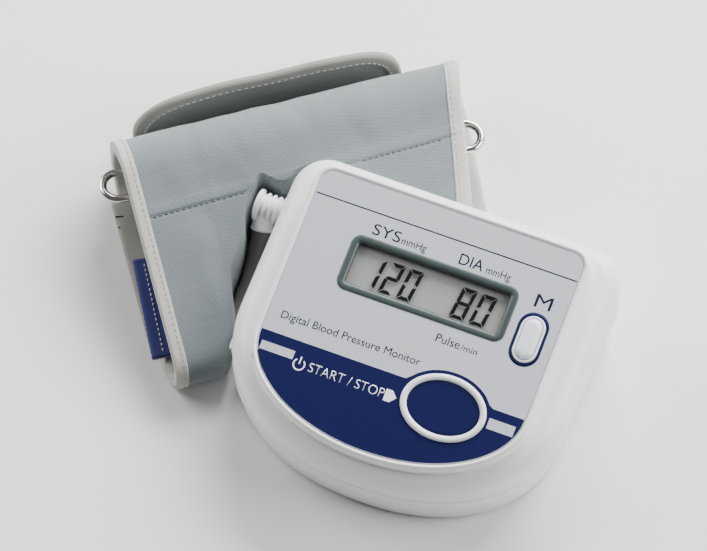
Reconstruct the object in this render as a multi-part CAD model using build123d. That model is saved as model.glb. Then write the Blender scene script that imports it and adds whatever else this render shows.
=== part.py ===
from build123d import *
from math import atan2, cos, degrees, pi, radians, sin, tan
import os

# Upper-arm blood pressure monitor: a wedge-shaped desk unit, and beside it the folded
# arm cuff, joined by an air hose.  Millimetres, +Z up, everything stands on z = 0.
#
# The desk unit is drawn in its own frame: X to the right, Y towards its back, and the
# middle of the label's rear edge above x = y = 0.  The cuff is drawn along its own
# axes: s along its width, t from its near fold to its far fold.  The parts are moved
# at the end, so that the middle of the whole set's footprint is the origin.

SET_CENTRE = (-37.7, -10.25)

# --- desk unit: driving dimensions -------------------------------------------------
BODY_WIDTH = 131.0
BODY_REAR = 14.0
BODY_SIDE_END = -50.0
BODY_FRONT_DEPTH = 51.5
BODY_FRONT_POWER = 2.2
BODY_CORNER = 14.0
WALL = 2.4

FOOT_HEIGHT = 1.5
SPLIT_HEIGHT = 20.0
BASE_TAPER = 3.0
SHOULDER_REAR_HEIGHT = 46.0
SHOULDER_TILT = 7.0
SHOULDER_ROUND = 7.0
SHOULDER_STEPS = 4

PANEL_HEIGHT = 58.0
PANEL_TILT = 12.9
LABEL_WIDTH = 104.0
LABEL_SIDE = 66.0
LABEL_FRONT_DEPTH = 30.7
LABEL_CORNER = 5.0
LABEL_THICKNESS = 0.5
LABEL_RECESS = 0.6
RIM = 2.6

LCD_CENTRE = (0.0, -30.9)
BEZEL_SIZE = (63.2, 21.4)
BEZEL_CORNER = 4.0
BEZEL_WIDTH = 1.6

START_CENTRE = (22.2, -71.6)
START_RADII = (13.7, 9.9)
START_RING = 2.6
MEMORY_CENTRE = (42.7, -36.6)
MEMORY_SIZE = (7.0, 16.0)
MEMORY_RING = 1.1
BUTTON_GAP = 0.15
BUTTON_TRAVEL = 0.5

BOARD_TOP = -9.2
BOARD_THICKNESS = 1.6
SWITCH_SIZE = 6.0
SWITCH_HEIGHT = 3.5
PLUNGER_RADIUS = 1.6
RUNNING_GAP = 0.05

CELL_RADIUS = 7.25
CELL_LENGTH = 50.5
CELL_PITCH = 14.7
CELL_FRONT = -42.5
TRAY_HALF_WIDTH = 31.0
TRAY_FRONT = -46.0
TRAY_ROOF = 20.6
COVER_THICKNESS = 2.0
COVER_GAP = 0.2
COVER_TRAVEL = 5.0

AIR_Y = -7.0
AIR_HEIGHT = 25.0
NOZZLE_RADIUS = 3.0
NOZZLE_DEPTH = 12.0
SOCKET_RADIUS = 6.0

# --- air hose ------------------------------------------------------------------------
HOSE_DIAMETER = 8.0
HOSE_BORE = 4.0
PLUG_OUTER_END = -77.4
PLUG_BARREL_RADIUS = 4.7
PLUG_RIB_RADIUS = 5.7
PLUG_FLANGE_RADIUS = 6.4
PLUG_FLANGE = 2.0
PLUG_STUB_RADIUS = 4.6
PLUG_STUB_REACH = 8.5
HOSE_ROUTE = [
    (-72.5, -13.6, 19.8),
    (-71.0, -23.0, 12.2),
    (-70.2, -34.0, 7.2),
    (-70.0, -46.5, 5.0),
    (-70.6, -60.5, 6.2),
]

# --- cuff: driving dimensions --------------------------------------------------------
CUFF_CORNER = (-73.0, -92.2)
CUFF_YAW = 37.0
CUFF_WIDTH = 138.0
CUFF_LIFT = 0.3
NEAR_FOLD_RADIUS = 8.0
NEAR_FOLD_T = 19.9
FAR_FOLD_RADIUS = 18.0
FAR_FOLD_T = 94.6
FABRIC = 1.2
PAD = 2.0
BINDING_WIDTH = 4.5
BINDING_PROUD = 0.3
UNIT_GAP = 2.5
HOSE_SPACE_X = -75.6
HOSE_SPACE_FRONT = -61.0
PLUG_SPACE_X = -80.4
COVER_PATH_TOP = 5.2

RING_LENGTH = 150.0
RING_WIDTH = 15.0
RING_WIRE = 3.2
RING_CENTRE = (66.5, 88.5, 18.5)
RING_SKEW = -6.3

TAIL_START = 107.0
TAIL_RISE_T = 112.5
TAIL_RADIUS = 12.0
TAIL_THICKNESS = 2.4
TAIL_SPAN = (12.0, 119.0)
TAIL_HEIGHT = 28.0
TAIL_CORNER = 22.0
TAIL_BINDING = 5.0

FULL = 90.0

PANEL = Plane(
    origin=(0, 0, PANEL_HEIGHT),
    x_dir=(1, 0, 0),
    z_dir=(0, -sin(radians(PANEL_TILT)), cos(radians(PANEL_TILT))),
)
CUFF = Plane(
    origin=(CUFF_CORNER[0], CUFF_CORNER[1], CUFF_LIFT),
    x_dir=(cos(radians(CUFF_YAW)), sin(radians(CUFF_YAW)), 0),
    z_dir=(0, 0, 1),
)

nodes = {}


# --- shared shapes -------------------------------------------------------------------
def front_curve(half, side_end, depth, power, steps=6):
    """The rounded front, a superellipse from the right side round to the left side."""
    points = []
    for i in range(2 * steps + 1):
        angle = pi * i / (2 * steps)
        x = half * abs(cos(angle)) ** (2 / power)
        y = depth * abs(sin(angle)) ** (2 / power)
        sign = 1 if angle < pi / 2 else -1
        points.append((sign * x, side_end - y))
    return Spline(points, tangents=[(0, -1), (0, 1)])


def shield(half, rear, side_end, depth, power, corner):
    """Plan of the body and of the label: square rear, straight sides, round front."""
    right = Line((half, side_end), (half, rear - corner))
    right_corner = RadiusArc((half, rear - corner), (half - corner, rear), -corner)
    back = Line((half - corner, rear), (corner - half, rear))
    left_corner = RadiusArc((corner - half, rear), (-half, rear - corner), -corner)
    left = Line((-half, rear - corner), (-half, side_end))
    front = front_curve(half, side_end, depth, power)
    return make_face([right, right_corner, back, left_corner, left, front])


def body_plan(inset=0.0):
    return shield(
        BODY_WIDTH / 2 - inset,
        BODY_REAR - inset,
        BODY_SIDE_END,
        BODY_FRONT_DEPTH - inset,
        BODY_FRONT_POWER,
        BODY_CORNER - min(inset, BODY_CORNER - 1),
    )


def label_plan(grow=0.0):
    """Plan of the front label, in the panel's own plane, grown outwards."""
    return shield(
        LABEL_WIDTH / 2 + grow,
        grow,
        -LABEL_SIDE,
        LABEL_FRONT_DEPTH + grow,
        2.0,
        LABEL_CORNER + max(grow, 1 - LABEL_CORNER),
    )


def slab(plan, low, high, plane=Plane.XY):
    """A flat plan as a solid between two heights above a plane."""
    return plane * Pos(0, 0, low) * extrude(plan, high - low)


def ellipse_plan(centre, radii, grow=0.0):
    return Pos(*centre) * Ellipse(radii[0] + grow, radii[1] + grow)


def pill_plan(centre, size, grow=0.0):
    tall = size[1] + 2 * grow
    wide = size[0] + 2 * grow
    return Pos(*centre) * SlotOverall(tall, wide, rotation=90)


def box_plan(centre, size, corner, grow=0.0):
    outline = RectangleRounded(size[0] + 2 * grow, size[1] + 2 * grow, corner + grow)
    return Pos(*centre) * outline


def rod(start, end, radius):
    """A round bar between two points."""
    axis = Vector(*end) - Vector(*start)
    plane = Plane(origin=start, z_dir=axis)
    return plane * extrude(Circle(radius), axis.length)


def block(low, high):
    """An axis-aligned box between two corners."""
    size = [b - a for a, b in zip(low, high)]
    middle = [(a + b) / 2 for a, b in zip(low, high)]
    return Pos(*middle) * Box(*size)


def keep(name, shape):
    """Name a part and move it to the set's own frame."""
    nodes[name] = Pos(-SET_CENTRE[0], -SET_CENTRE[1], 0) * shape


def tube_route(points, share=0.45):
    """A smooth route: straight runs joined by arcs as large as the runs allow."""
    corners = [Vector(*p) for p in points]
    radii = []
    for before, here, after in zip(corners, corners[1:], corners[2:]):
        turn = radians((here - before).get_angle(after - here))
        shorter = min((here - before).length, (after - here).length)
        radii.append(share * shorter / tan(turn / 2))
    return FilletPolyline(*points, radius=radii), radii


# --- desk unit: casings ----------------------------------------------------------------
SHOULDER = Plane(
    origin=(0, BODY_REAR, SHOULDER_REAR_HEIGHT),
    x_dir=(1, 0, 0),
    z_dir=(0, -sin(radians(SHOULDER_TILT)), cos(radians(SHOULDER_TILT))),
)


def shoulder_form(inset):
    """A block under the sloping shoulder, its top edge rounded in short steps."""
    radius = SHOULDER_ROUND - inset
    sections = [Pos(0, -BODY_REAR, -FULL) * body_plan(inset - 1)]
    for i in range(SHOULDER_STEPS + 1):
        angle = pi / 2 * i / SHOULDER_STEPS
        drop = radius * (1 - sin(angle))
        pull = radius * (1 - cos(angle))
        sections.append(Pos(0, -BODY_REAR, -drop) * body_plan(inset + pull))
    return SHOULDER.offset(-inset) * loft(sections, ruled=True)


def upper_block(inset):
    """The upper casing's outside, or its inside when inset by the wall."""
    body = slab(body_plan(inset), SPLIT_HEIGHT, FULL) & shoulder_form(inset)
    raised = slab(label_plan(RIM - inset), -FULL, -inset, PANEL)
    raised = split(raised, bisect_by=Plane.XY.offset(SPLIT_HEIGHT), keep=Keep.TOP)
    return body + raised


def lower_block(inset):
    """The lower casing's outside, or its inside when inset by the wall."""
    low = FOOT_HEIGHT + inset
    base = Pos(0, 0, low) * body_plan(BASE_TAPER + inset)
    rim = Pos(0, 0, SPLIT_HEIGHT) * body_plan(inset)
    return loft([base, rim])


def boss(centre, radius, low, high, pilot, plane=Plane.XY):
    post = slab(Pos(*centre) * Circle(radius), low, high, plane)
    return post - slab(Pos(*centre) * Circle(pilot), low, high - 1.0, plane)


CASE_SCREWS = [(-50, 6), (50, 6), (-47, -76), (47, -76)]
CASE_SCREW_RADIUS = 1.4
BOARD_SCREWS = [(-42, -15), (42, -15), (-38, -74), (1, -84)]
BOARD_SCREW_RADIUS = 1.2
BOSS_RADIUS = 3.4
BOSS_TOP = 30.0


def lcd_opening(grow=0.0):
    return box_plan(LCD_CENTRE, (57.0, 15.4), 2.0, grow)


def make_upper_case():
    case = upper_block(0) - upper_block(WALL)
    case -= slab(label_plan(0.1), -LABEL_RECESS, 5, PANEL)
    case -= slab(lcd_opening(), -10, 5, PANEL)
    lens_seat = box_plan(LCD_CENTRE, (62.6, 20.8), 3.5, 0.05)
    case -= slab(lens_seat, -LABEL_RECESS - 1.0, 5, PANEL)
    case -= slab(ellipse_plan(START_CENTRE, START_RADII, BUTTON_GAP), -10, 5, PANEL)
    case -= slab(pill_plan(MEMORY_CENTRE, MEMORY_SIZE, BUTTON_GAP), -10, 5, PANEL)
    case -= rod((-FULL, AIR_Y, AIR_HEIGHT), (-40, AIR_Y, AIR_HEIGHT), SOCKET_RADIUS)
    for centre in BOARD_SCREWS:
        case += boss(centre, 3.0, BOARD_TOP, -WALL, BOARD_SCREW_RADIUS, PANEL)
    inner_skin = upper_block(WALL / 2)
    for centre in CASE_SCREWS:
        post = slab(Pos(*centre) * Circle(BOSS_RADIUS), SPLIT_HEIGHT, BOSS_TOP)
        roof = Pos(*centre) * Circle(BOSS_RADIUS)
        post += slab(roof, BOSS_TOP, 60) & inner_skin
        pilot = Pos(*centre) * Circle(CASE_SCREW_RADIUS)
        case += post - slab(pilot, SPLIT_HEIGHT, BOSS_TOP)
    return case


def cover_plan(grow=0.0):
    return Pos(0, (TRAY_FRONT + 20) / 2) * Rectangle(
        2 * TRAY_HALF_WIDTH + 2 * grow, 20 - TRAY_FRONT + 2 * grow
    )


def make_battery_cover():
    """Flush slab in the base, cut from the lower casing's own shape."""
    plate = slab(cover_plan(-COVER_GAP), FOOT_HEIGHT, FOOT_HEIGHT + COVER_THICKNESS)
    return plate & lower_block(0)


def make_lower_case():
    case = lower_block(0) - lower_block(WALL)
    tray = block(
        (-TRAY_HALF_WIDTH - 1.6, TRAY_FRONT - 1.6, FOOT_HEIGHT),
        (TRAY_HALF_WIDTH + 1.6, BODY_REAR, SPLIT_HEIGHT),
    )
    case += tray & lower_block(0)
    case += block(
        (-TRAY_HALF_WIDTH - 1.6, TRAY_FRONT - 1.6, 19.0),
        (TRAY_HALF_WIDTH + 1.6, 11.0, TRAY_ROOF),
    )
    case -= block(
        (-TRAY_HALF_WIDTH + 1.4, TRAY_FRONT + 1.4, 0),
        (TRAY_HALF_WIDTH - 1.4, 10.6, TRAY_ROOF - 1.6),
    )
    case -= slab(cover_plan(), 0, FOOT_HEIGHT + COVER_THICKNESS + COVER_GAP)
    for centre in CASE_SCREWS:
        post = Pos(*centre) * Circle(BOSS_RADIUS)
        case += slab(post, FOOT_HEIGHT, SPLIT_HEIGHT) & lower_block(0)
        case -= slab(Pos(*centre) * Circle(3.0), 0, FOOT_HEIGHT + 3.0)
        case -= slab(Pos(*centre) * Circle(CASE_SCREW_RADIUS), 0, SPLIT_HEIGHT)
    for centre in FEET:
        case -= slab(Pos(*centre) * Circle(FOOT_RADIUS), 0, FOOT_HEIGHT + 0.8)
    return case - rod((-FULL, AIR_Y, AIR_HEIGHT), (-40, AIR_Y, AIR_HEIGHT), SOCKET_RADIUS)


FEET = [(-40, 4), (40, 4), (-30, -88), (30, -88)]
FOOT_RADIUS = 4.5


def make_rubber_feet():
    feet = [slab(Pos(*c) * Circle(FOOT_RADIUS), 0, FOOT_HEIGHT + 0.8) for c in FEET]
    return Compound(feet)


def screw(centre, radius, head, low, high, plane=Plane.XY):
    """Pan-head screw: head below, shank up to the given height."""
    shank = slab(Pos(*centre) * Circle(radius), low, high, plane)
    return shank + slab(Pos(*centre) * Circle(head), low, low + 1.6, plane)


def make_case_screws():
    seat = FOOT_HEIGHT + 3.0 - 1.6
    screws = [screw(c, CASE_SCREW_RADIUS, 2.7, seat, BOSS_TOP - 1) for c in CASE_SCREWS]
    return Compound(screws)


# --- desk unit: front panel --------------------------------------------------------------
def make_panel_label():
    label = slab(label_plan(), -LABEL_RECESS, LABEL_THICKNESS - LABEL_RECESS, PANEL)
    label -= slab(box_plan(LCD_CENTRE, BEZEL_SIZE, BEZEL_CORNER, 0.05), -5, 5, PANEL)
    ring = START_RING + BUTTON_GAP + 0.05
    label -= slab(ellipse_plan(START_CENTRE, START_RADII, ring), -5, 5, PANEL)
    trim = MEMORY_RING + BUTTON_GAP + 0.05
    label -= slab(pill_plan(MEMORY_CENTRE, MEMORY_SIZE, trim), -5, 5, PANEL)
    return label


def make_lcd_bezel():
    outer = box_plan(LCD_CENTRE, BEZEL_SIZE, BEZEL_CORNER)
    inner = box_plan(LCD_CENTRE, BEZEL_SIZE, BEZEL_CORNER, -BEZEL_WIDTH)
    return slab(outer - inner, -LABEL_RECESS, 0.0, PANEL)


def make_lcd_window():
    lens = box_plan(LCD_CENTRE, (62.6, 20.8), 3.5)
    return slab(lens, -LABEL_RECESS - 1.0, -LABEL_RECESS, PANEL)


LCD_GLASS = (62.0, 26.0)
LCD_TOP = -WALL - 0.2
LCD_THICKNESS = 2.6


def make_lcd_glass():
    return slab(box_plan(LCD_CENTRE, LCD_GLASS, 0.5), LCD_TOP - LCD_THICKNESS, LCD_TOP, PANEL)


def make_lcd_holder():
    outer = box_plan(LCD_CENTRE, (67.0, 31.0), 1.5)
    holder = slab(outer, BOARD_TOP, LCD_TOP, PANEL)
    holder -= slab(box_plan(LCD_CENTRE, LCD_GLASS, 0.5, 0.1), LCD_TOP - LCD_THICKNESS, 0, PANEL)
    return holder - slab(box_plan(LCD_CENTRE, (58.0, 24.0), 0.5), -20, 0, PANEL)


def make_zebra_strips():
    strips = []
    for side in (-1, 1):
        centre = (LCD_CENTRE[0], LCD_CENTRE[1] + side * 10.6)
        strip = box_plan(centre, (56.0, 2.4), 0.3)
        strips.append(slab(strip, BOARD_TOP, LCD_TOP - LCD_THICKNESS, PANEL))
    return Compound(strips)


def make_start_ring():
    outer = ellipse_plan(START_CENTRE, START_RADII, START_RING + BUTTON_GAP)
    inner = ellipse_plan(START_CENTRE, START_RADII, BUTTON_GAP)
    return slab(outer - inner, -LABEL_RECESS, 0.6, PANEL)


def make_memory_ring():
    outer = pill_plan(MEMORY_CENTRE, MEMORY_SIZE, MEMORY_RING + BUTTON_GAP)
    inner = pill_plan(MEMORY_CENTRE, MEMORY_SIZE, BUTTON_GAP)
    return slab(outer - inner, -LABEL_RECESS, 0.5, PANEL)


BUTTON_SHOULDER = -WALL - 0.3
SWITCH_TOP = BOARD_TOP + SWITCH_HEIGHT
SWITCH_FLOOR = BOARD_TOP + 0.6
PLUNGER_TOP = SWITCH_TOP + 0.9


def button(cap, flange, cap_top):
    body = slab(cap, BUTTON_SHOULDER, cap_top, PANEL)
    body += slab(flange, PLUNGER_TOP, BUTTON_SHOULDER, PANEL)
    return body


def make_start_button():
    """Wide oval key with a shallow thumb hollow in its top."""
    cap = ellipse_plan(START_CENTRE, START_RADII)
    flange = ellipse_plan(START_CENTRE, START_RADII, 1.4)
    key = button(cap, flange, 1.0)
    hollow = PANEL * Pos(START_CENTRE[0], START_CENTRE[1], 120.3) * Sphere(120)
    return key - hollow


def make_memory_button():
    cap = pill_plan(MEMORY_CENTRE, MEMORY_SIZE)
    flange = pill_plan(MEMORY_CENTRE, MEMORY_SIZE, 1.2)
    return button(cap, flange, 1.2)


# --- desk unit: electronics ----------------------------------------------------------------
def make_main_board():
    plan = Pos(0, -47) * RectangleRounded(96, 80, 8)
    board = slab(plan, BOARD_TOP - BOARD_THICKNESS, BOARD_TOP, PANEL)
    for centre in BOARD_SCREWS:
        board -= slab(Pos(*centre) * Circle(BOARD_SCREW_RADIUS), -20, 0, PANEL)
    for centre in CASE_SCREWS:
        board -= slab(Pos(*centre) * Circle(BOSS_RADIUS + 1), 0, FULL)
    return board


def make_board_screws():
    low = BOARD_TOP - BOARD_THICKNESS - 1.6
    tip = -WALL - 2.0
    screws = [screw(c, BOARD_SCREW_RADIUS, 2.4, low, tip, PANEL) for c in BOARD_SCREWS]
    return Compound(screws)


def make_switch(centre):
    body = slab(box_plan(centre, (SWITCH_SIZE, SWITCH_SIZE), 0.5), BOARD_TOP, SWITCH_TOP, PANEL)
    bore = Pos(*centre) * Circle(PLUNGER_RADIUS + RUNNING_GAP)
    return body - slab(bore, SWITCH_FLOOR, 0, PANEL)


def make_plunger(centre):
    foot = SWITCH_FLOOR + BUTTON_TRAVEL + 0.3
    return slab(Pos(*centre) * Circle(PLUNGER_RADIUS), foot, PLUNGER_TOP, PANEL)


def make_buzzer():
    can = slab(Pos(-22, -66) * Circle(6.0), BOARD_TOP, BOARD_TOP + 3.0, PANEL)
    return can - slab(Pos(-22, -66) * Circle(1.0), BOARD_TOP + 2.0, 0, PANEL)


def make_pressure_sensor():
    low = BOARD_TOP - BOARD_THICKNESS
    body = slab(box_plan((-34, -50), (10, 10), 0.8), low - 5.0, low, PANEL)
    return body + slab(Pos(-34, -50) * Circle(1.5), low - 9.0, low - 5.0, PANEL)


PUMP_Y = -72.0
PUMP_HEIGHT = 15.5
MOTOR_RADIUS = 10.0
MOTOR_SPAN = (-40.0, -18.0)
HEAD_SPAN = (-18.0, 4.0)
SHAFT_RADIUS = 1.0
CRANK_RADIUS = 6.0


def make_pump_motor():
    can = rod((MOTOR_SPAN[0], PUMP_Y, PUMP_HEIGHT), (MOTOR_SPAN[1], PUMP_Y, PUMP_HEIGHT), MOTOR_RADIUS)
    middle = MOTOR_SPAN[0] + 6.0
    hole = SHAFT_RADIUS + RUNNING_GAP
    return can - rod((middle, PUMP_Y, PUMP_HEIGHT), (0, PUMP_Y, PUMP_HEIGHT), hole)


def make_pump_shaft():
    """Motor shaft with the crank disc that works the pump's diaphragms."""
    start = (MOTOR_SPAN[0] + 6.5, PUMP_Y, PUMP_HEIGHT)
    shaft = rod(start, (HEAD_SPAN[0] + 10, PUMP_Y, PUMP_HEIGHT), SHAFT_RADIUS)
    disc = rod(
        (HEAD_SPAN[0] + 4, PUMP_Y, PUMP_HEIGHT), (HEAD_SPAN[0] + 8, PUMP_Y, PUMP_HEIGHT), CRANK_RADIUS
    )
    pin_y = PUMP_Y + 3.5
    pin = rod((HEAD_SPAN[0] + 8, pin_y, PUMP_HEIGHT), (HEAD_SPAN[0] + 12, pin_y, PUMP_HEIGHT), 1.2)
    return shaft + disc + pin


def make_pump_head():
    half = 10.5
    head = block(
        (HEAD_SPAN[0], PUMP_Y - half, PUMP_HEIGHT - half),
        (HEAD_SPAN[1], PUMP_Y + half, PUMP_HEIGHT + half),
    )
    head -= rod((HEAD_SPAN[0] + 2, PUMP_Y, PUMP_HEIGHT), (HEAD_SPAN[0] + 14, PUMP_Y, PUMP_HEIGHT), 8.0)
    hole = SHAFT_RADIUS + RUNNING_GAP
    head -= rod((HEAD_SPAN[0] - 1, PUMP_Y, PUMP_HEIGHT), (HEAD_SPAN[0] + 4, PUMP_Y, PUMP_HEIGHT), hole)
    nipple = rod((HEAD_SPAN[1], PUMP_Y, PUMP_HEIGHT), (HEAD_SPAN[1] + 5, PUMP_Y, PUMP_HEIGHT), 1.5)
    return head + nipple


VALVE_X = 30.0
VALVE_BASE = 6.0


def make_release_valve():
    """Solenoid valve: a wound can with a bore for its plunger."""
    can = block((VALVE_X - 6.5, PUMP_Y - 6.5, VALVE_BASE), (VALVE_X + 6.5, PUMP_Y + 6.5, 21.0))
    bore = rod((VALVE_X, PUMP_Y, VALVE_BASE + 4), (VALVE_X, PUMP_Y, 30), 2.0 + RUNNING_GAP)
    nipple = rod((VALVE_X - 11.5, PUMP_Y, 11), (VALVE_X - 6.5, PUMP_Y, 11), 1.5)
    return can - bore + nipple


def make_valve_plunger():
    return rod((VALVE_X, PUMP_Y, VALVE_BASE + 6), (VALVE_X, PUMP_Y, 22.5), 2.0)


def make_air_manifold():
    """Four-way block: pump and valve in front, sensor above, socket behind."""
    middle = block((-48, -48, 8), (-38, -36, 16))
    rear = rod((-43, -36, 12), (-43, -31, 12), 1.5)
    front = rod((-43, -53, 12), (-43, -48, 12), 1.5)
    return middle + rear + front


def inner_hose(points):
    path, _ = tube_route(points)
    start = Plane(origin=path @ 0, z_dir=path % 0)
    return sweep(start * (Circle(2.5) - Circle(1.5)), path=path)


def make_inner_hoses():
    """Soft hoses between the manifold, the socket and the pump's outlet and valve."""
    rear = inner_hose([(-43, -35.5, 12), (-43, -24, 12), (-43, -13, 18), (-43, AIR_Y - 5.6, AIR_HEIGHT)])
    cross_x = HEAD_SPAN[1] + 1.0
    across = inner_hose([(cross_x, PUMP_Y, PUMP_HEIGHT), (10, PUMP_Y, 14.5), (VALVE_X - 7, PUMP_Y, 11)])
    return Compound([rear, across])


# --- desk unit: air socket -----------------------------------------------------------------
SOCKET_INNER_END = -46.0


def make_air_socket():
    """Barrel through the left wall, with a blind bore for the plug's nozzle."""
    outer_face = -BODY_WIDTH / 2 - 0.6
    barrel = rod((-64.0, AIR_Y, AIR_HEIGHT), (SOCKET_INNER_END, AIR_Y, AIR_HEIGHT), SOCKET_RADIUS)
    barrel += rod((outer_face - 0.6, AIR_Y, AIR_HEIGHT), (-65.5, AIR_Y, AIR_HEIGHT), SOCKET_RADIUS + 1)
    barrel += rod((-65.5, AIR_Y, AIR_HEIGHT), (-64.0, AIR_Y, AIR_HEIGHT), SOCKET_RADIUS)
    mouth = outer_face - 1
    bore_end = outer_face - 0.6 + NOZZLE_DEPTH + 1
    barrel -= rod((mouth, AIR_Y, AIR_HEIGHT), (bore_end, AIR_Y, AIR_HEIGHT), NOZZLE_RADIUS + RUNNING_GAP)
    groove_x = -60.0
    groove = rod((groove_x, AIR_Y, AIR_HEIGHT), (groove_x + 2, AIR_Y, AIR_HEIGHT), 4.6)
    return barrel - groove


def make_socket_seal():
    ring = rod((-60.0, AIR_Y, AIR_HEIGHT), (-58.0, AIR_Y, AIR_HEIGHT), 4.6)
    bore = rod((-61.0, AIR_Y, AIR_HEIGHT), (-57.0, AIR_Y, AIR_HEIGHT), NOZZLE_RADIUS + RUNNING_GAP)
    return ring - bore


# --- desk unit: battery compartment --------------------------------------------------------
CELL_HEIGHT = FOOT_HEIGHT + COVER_THICKNESS + 0.5 + CELL_RADIUS


def make_battery_cells():
    cells = []
    for i in range(4):
        x = (i - 1.5) * CELL_PITCH
        rear = CELL_FRONT + CELL_LENGTH
        tip = 1 if i % 2 == 0 else -1
        cell = rod((x, CELL_FRONT + 1, CELL_HEIGHT), (x, rear - 1, CELL_HEIGHT), CELL_RADIUS)
        end = rear if tip > 0 else CELL_FRONT
        root = rear - 1 if tip > 0 else CELL_FRONT + 1
        cells.append(cell + rod((x, root, CELL_HEIGHT), (x, end, CELL_HEIGHT), 2.75))
    return Compound(cells)


def make_battery_contacts():
    """Contact plates at both ends of the compartment."""
    plates = []
    for x in (-CELL_PITCH, CELL_PITCH):
        plates.append(block((x - 12, TRAY_FRONT + 1.4, 6), (x + 12, TRAY_FRONT + 2.0, 16)))
    for x, half in ((0, 12), (-1.5 * CELL_PITCH, 5), (1.5 * CELL_PITCH, 5)):
        plates.append(block((x - half, 10.0, 6), (x + half, 10.6, 16)))
    return Compound(plates)


# --- air plug and hose -----------------------------------------------------------------------
def air_rod(start, end, radius):
    return rod((start, AIR_Y, AIR_HEIGHT), (end, AIR_Y, AIR_HEIGHT), radius)


def make_air_plug():
    """Angled plug: nozzle, ribbed barrel, finger flange, and the stub that holds the hose."""
    wall = -BODY_WIDTH / 2 - 1.2
    plug = air_rod(wall, wall + NOZZLE_DEPTH, NOZZLE_RADIUS)
    plug += air_rod(PLUG_OUTER_END, wall, PLUG_BARREL_RADIUS)
    for i in range(3):
        x = -68.4 - 2.3 * i
        plug += air_rod(x - 1.1, x, PLUG_RIB_RADIUS)
    plug += air_rod(PLUG_OUTER_END, PLUG_OUTER_END + PLUG_FLANGE, PLUG_FLANGE_RADIUS)
    hose_end = Vector(*HOSE_ROUTE[0])
    away = (hose_end - Vector(*HOSE_ROUTE[1])).normalized()
    return plug + rod(tuple(hose_end), tuple(hose_end + away * PLUG_STUB_REACH), PLUG_STUB_RADIUS)


def make_air_hose():
    path, radii = tube_route(HOSE_ROUTE)
    print("hose radii", [round(r, 1) for r in radii])
    print("hose length", round(path.length, 1))
    start = Plane(origin=path @ 0, z_dir=path % 0)
    return sweep(start * (Circle(HOSE_DIAMETER / 2) - Circle(HOSE_BORE / 2)), path=path)


# --- cuff --------------------------------------------------------------------------------------
CUFF_SHELL = 2 * FABRIC + PAD
SLOPE = degrees(2 * atan2(FAR_FOLD_RADIUS - NEAR_FOLD_RADIUS, FAR_FOLD_T - NEAR_FOLD_T))


def loop_plan(depth):
    """The folded cuff's cross-section, a tapered loop, shrunk by a depth."""
    near = NEAR_FOLD_RADIUS - depth
    far = FAR_FOLD_RADIUS - depth
    lean = radians(SLOPE)
    top_near = (NEAR_FOLD_T - near * sin(lean), NEAR_FOLD_RADIUS + near * cos(lean))
    top_far = (FAR_FOLD_T - far * sin(lean), FAR_FOLD_RADIUS + far * cos(lean))
    near_mid = (NEAR_FOLD_T - near, NEAR_FOLD_RADIUS)
    far_mid = (FAR_FOLD_T + far, FAR_FOLD_RADIUS)
    bottom_near = (NEAR_FOLD_T, NEAR_FOLD_RADIUS - near)
    bottom_far = (FAR_FOLD_T, FAR_FOLD_RADIUS - far)
    return make_face(
        [
            Line(bottom_near, bottom_far),
            ThreePointArc(bottom_far, far_mid, top_far),
            Line(top_far, top_near),
            ThreePointArc(top_near, near_mid, bottom_near),
        ]
    )


def loop_block(depth, start, end):
    """The loop's outer form between two places along the cuff's width."""
    across = Plane(origin=(start, 0, 0), x_dir=(0, 1, 0), z_dir=(1, 0, 0))
    return CUFF.location * across.location * extrude(loop_plan(depth), end - start)


def unit_clearance():
    """The space that the cuff leaves for the desk unit, its cover, its plug and the hose."""
    space = slab(body_plan(-UNIT_GAP), -1, FULL)
    space += block((HOSE_SPACE_X, HOSE_SPACE_FRONT, -1), (-60.0, AIR_Y, FULL))
    space += block((PLUG_SPACE_X, AIR_Y - 10, -1), (-60.0, AIR_Y + 9, FULL))
    half = TRAY_HALF_WIDTH + 2
    space += block((-half, 0, -1), (half, BODY_REAR + COVER_TRAVEL + 1.5, COVER_PATH_TOP))
    return space


def make_loop(outer, inner, start, end, clearance):
    return loop_block(outer, start, end) - loop_block(inner, start - 1, end + 1) - clearance


def bladder_zone():
    """Upper run of the loop, between the side seams."""
    return CUFF * block((12, 26, FAR_FOLD_RADIUS * 0.45), (CUFF_WIDTH - 12, 88, FULL))


def make_cuff():
    clearance = unit_clearance()
    left = BINDING_WIDTH
    right = CUFF_WIDTH - BINDING_WIDTH
    inner_face = CUFF_SHELL
    keep("cuff_outer_fabric", make_loop(0, FABRIC, left, right, clearance))
    middle = make_loop(FABRIC, FABRIC + PAD, left, right, clearance)
    keep("air_bladder", middle & bladder_zone())
    keep("cuff_padding", middle - bladder_zone())
    keep("cuff_inner_fabric", make_loop(FABRIC + PAD, inner_face, left, right, clearance))
    proud = -BINDING_PROUD
    deep = inner_face + BINDING_PROUD
    keep("cuff_binding_left", make_loop(proud, deep, 0, left, clearance))
    keep("cuff_binding_right", make_loop(proud, deep, right, CUFF_WIDTH, clearance))


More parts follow.
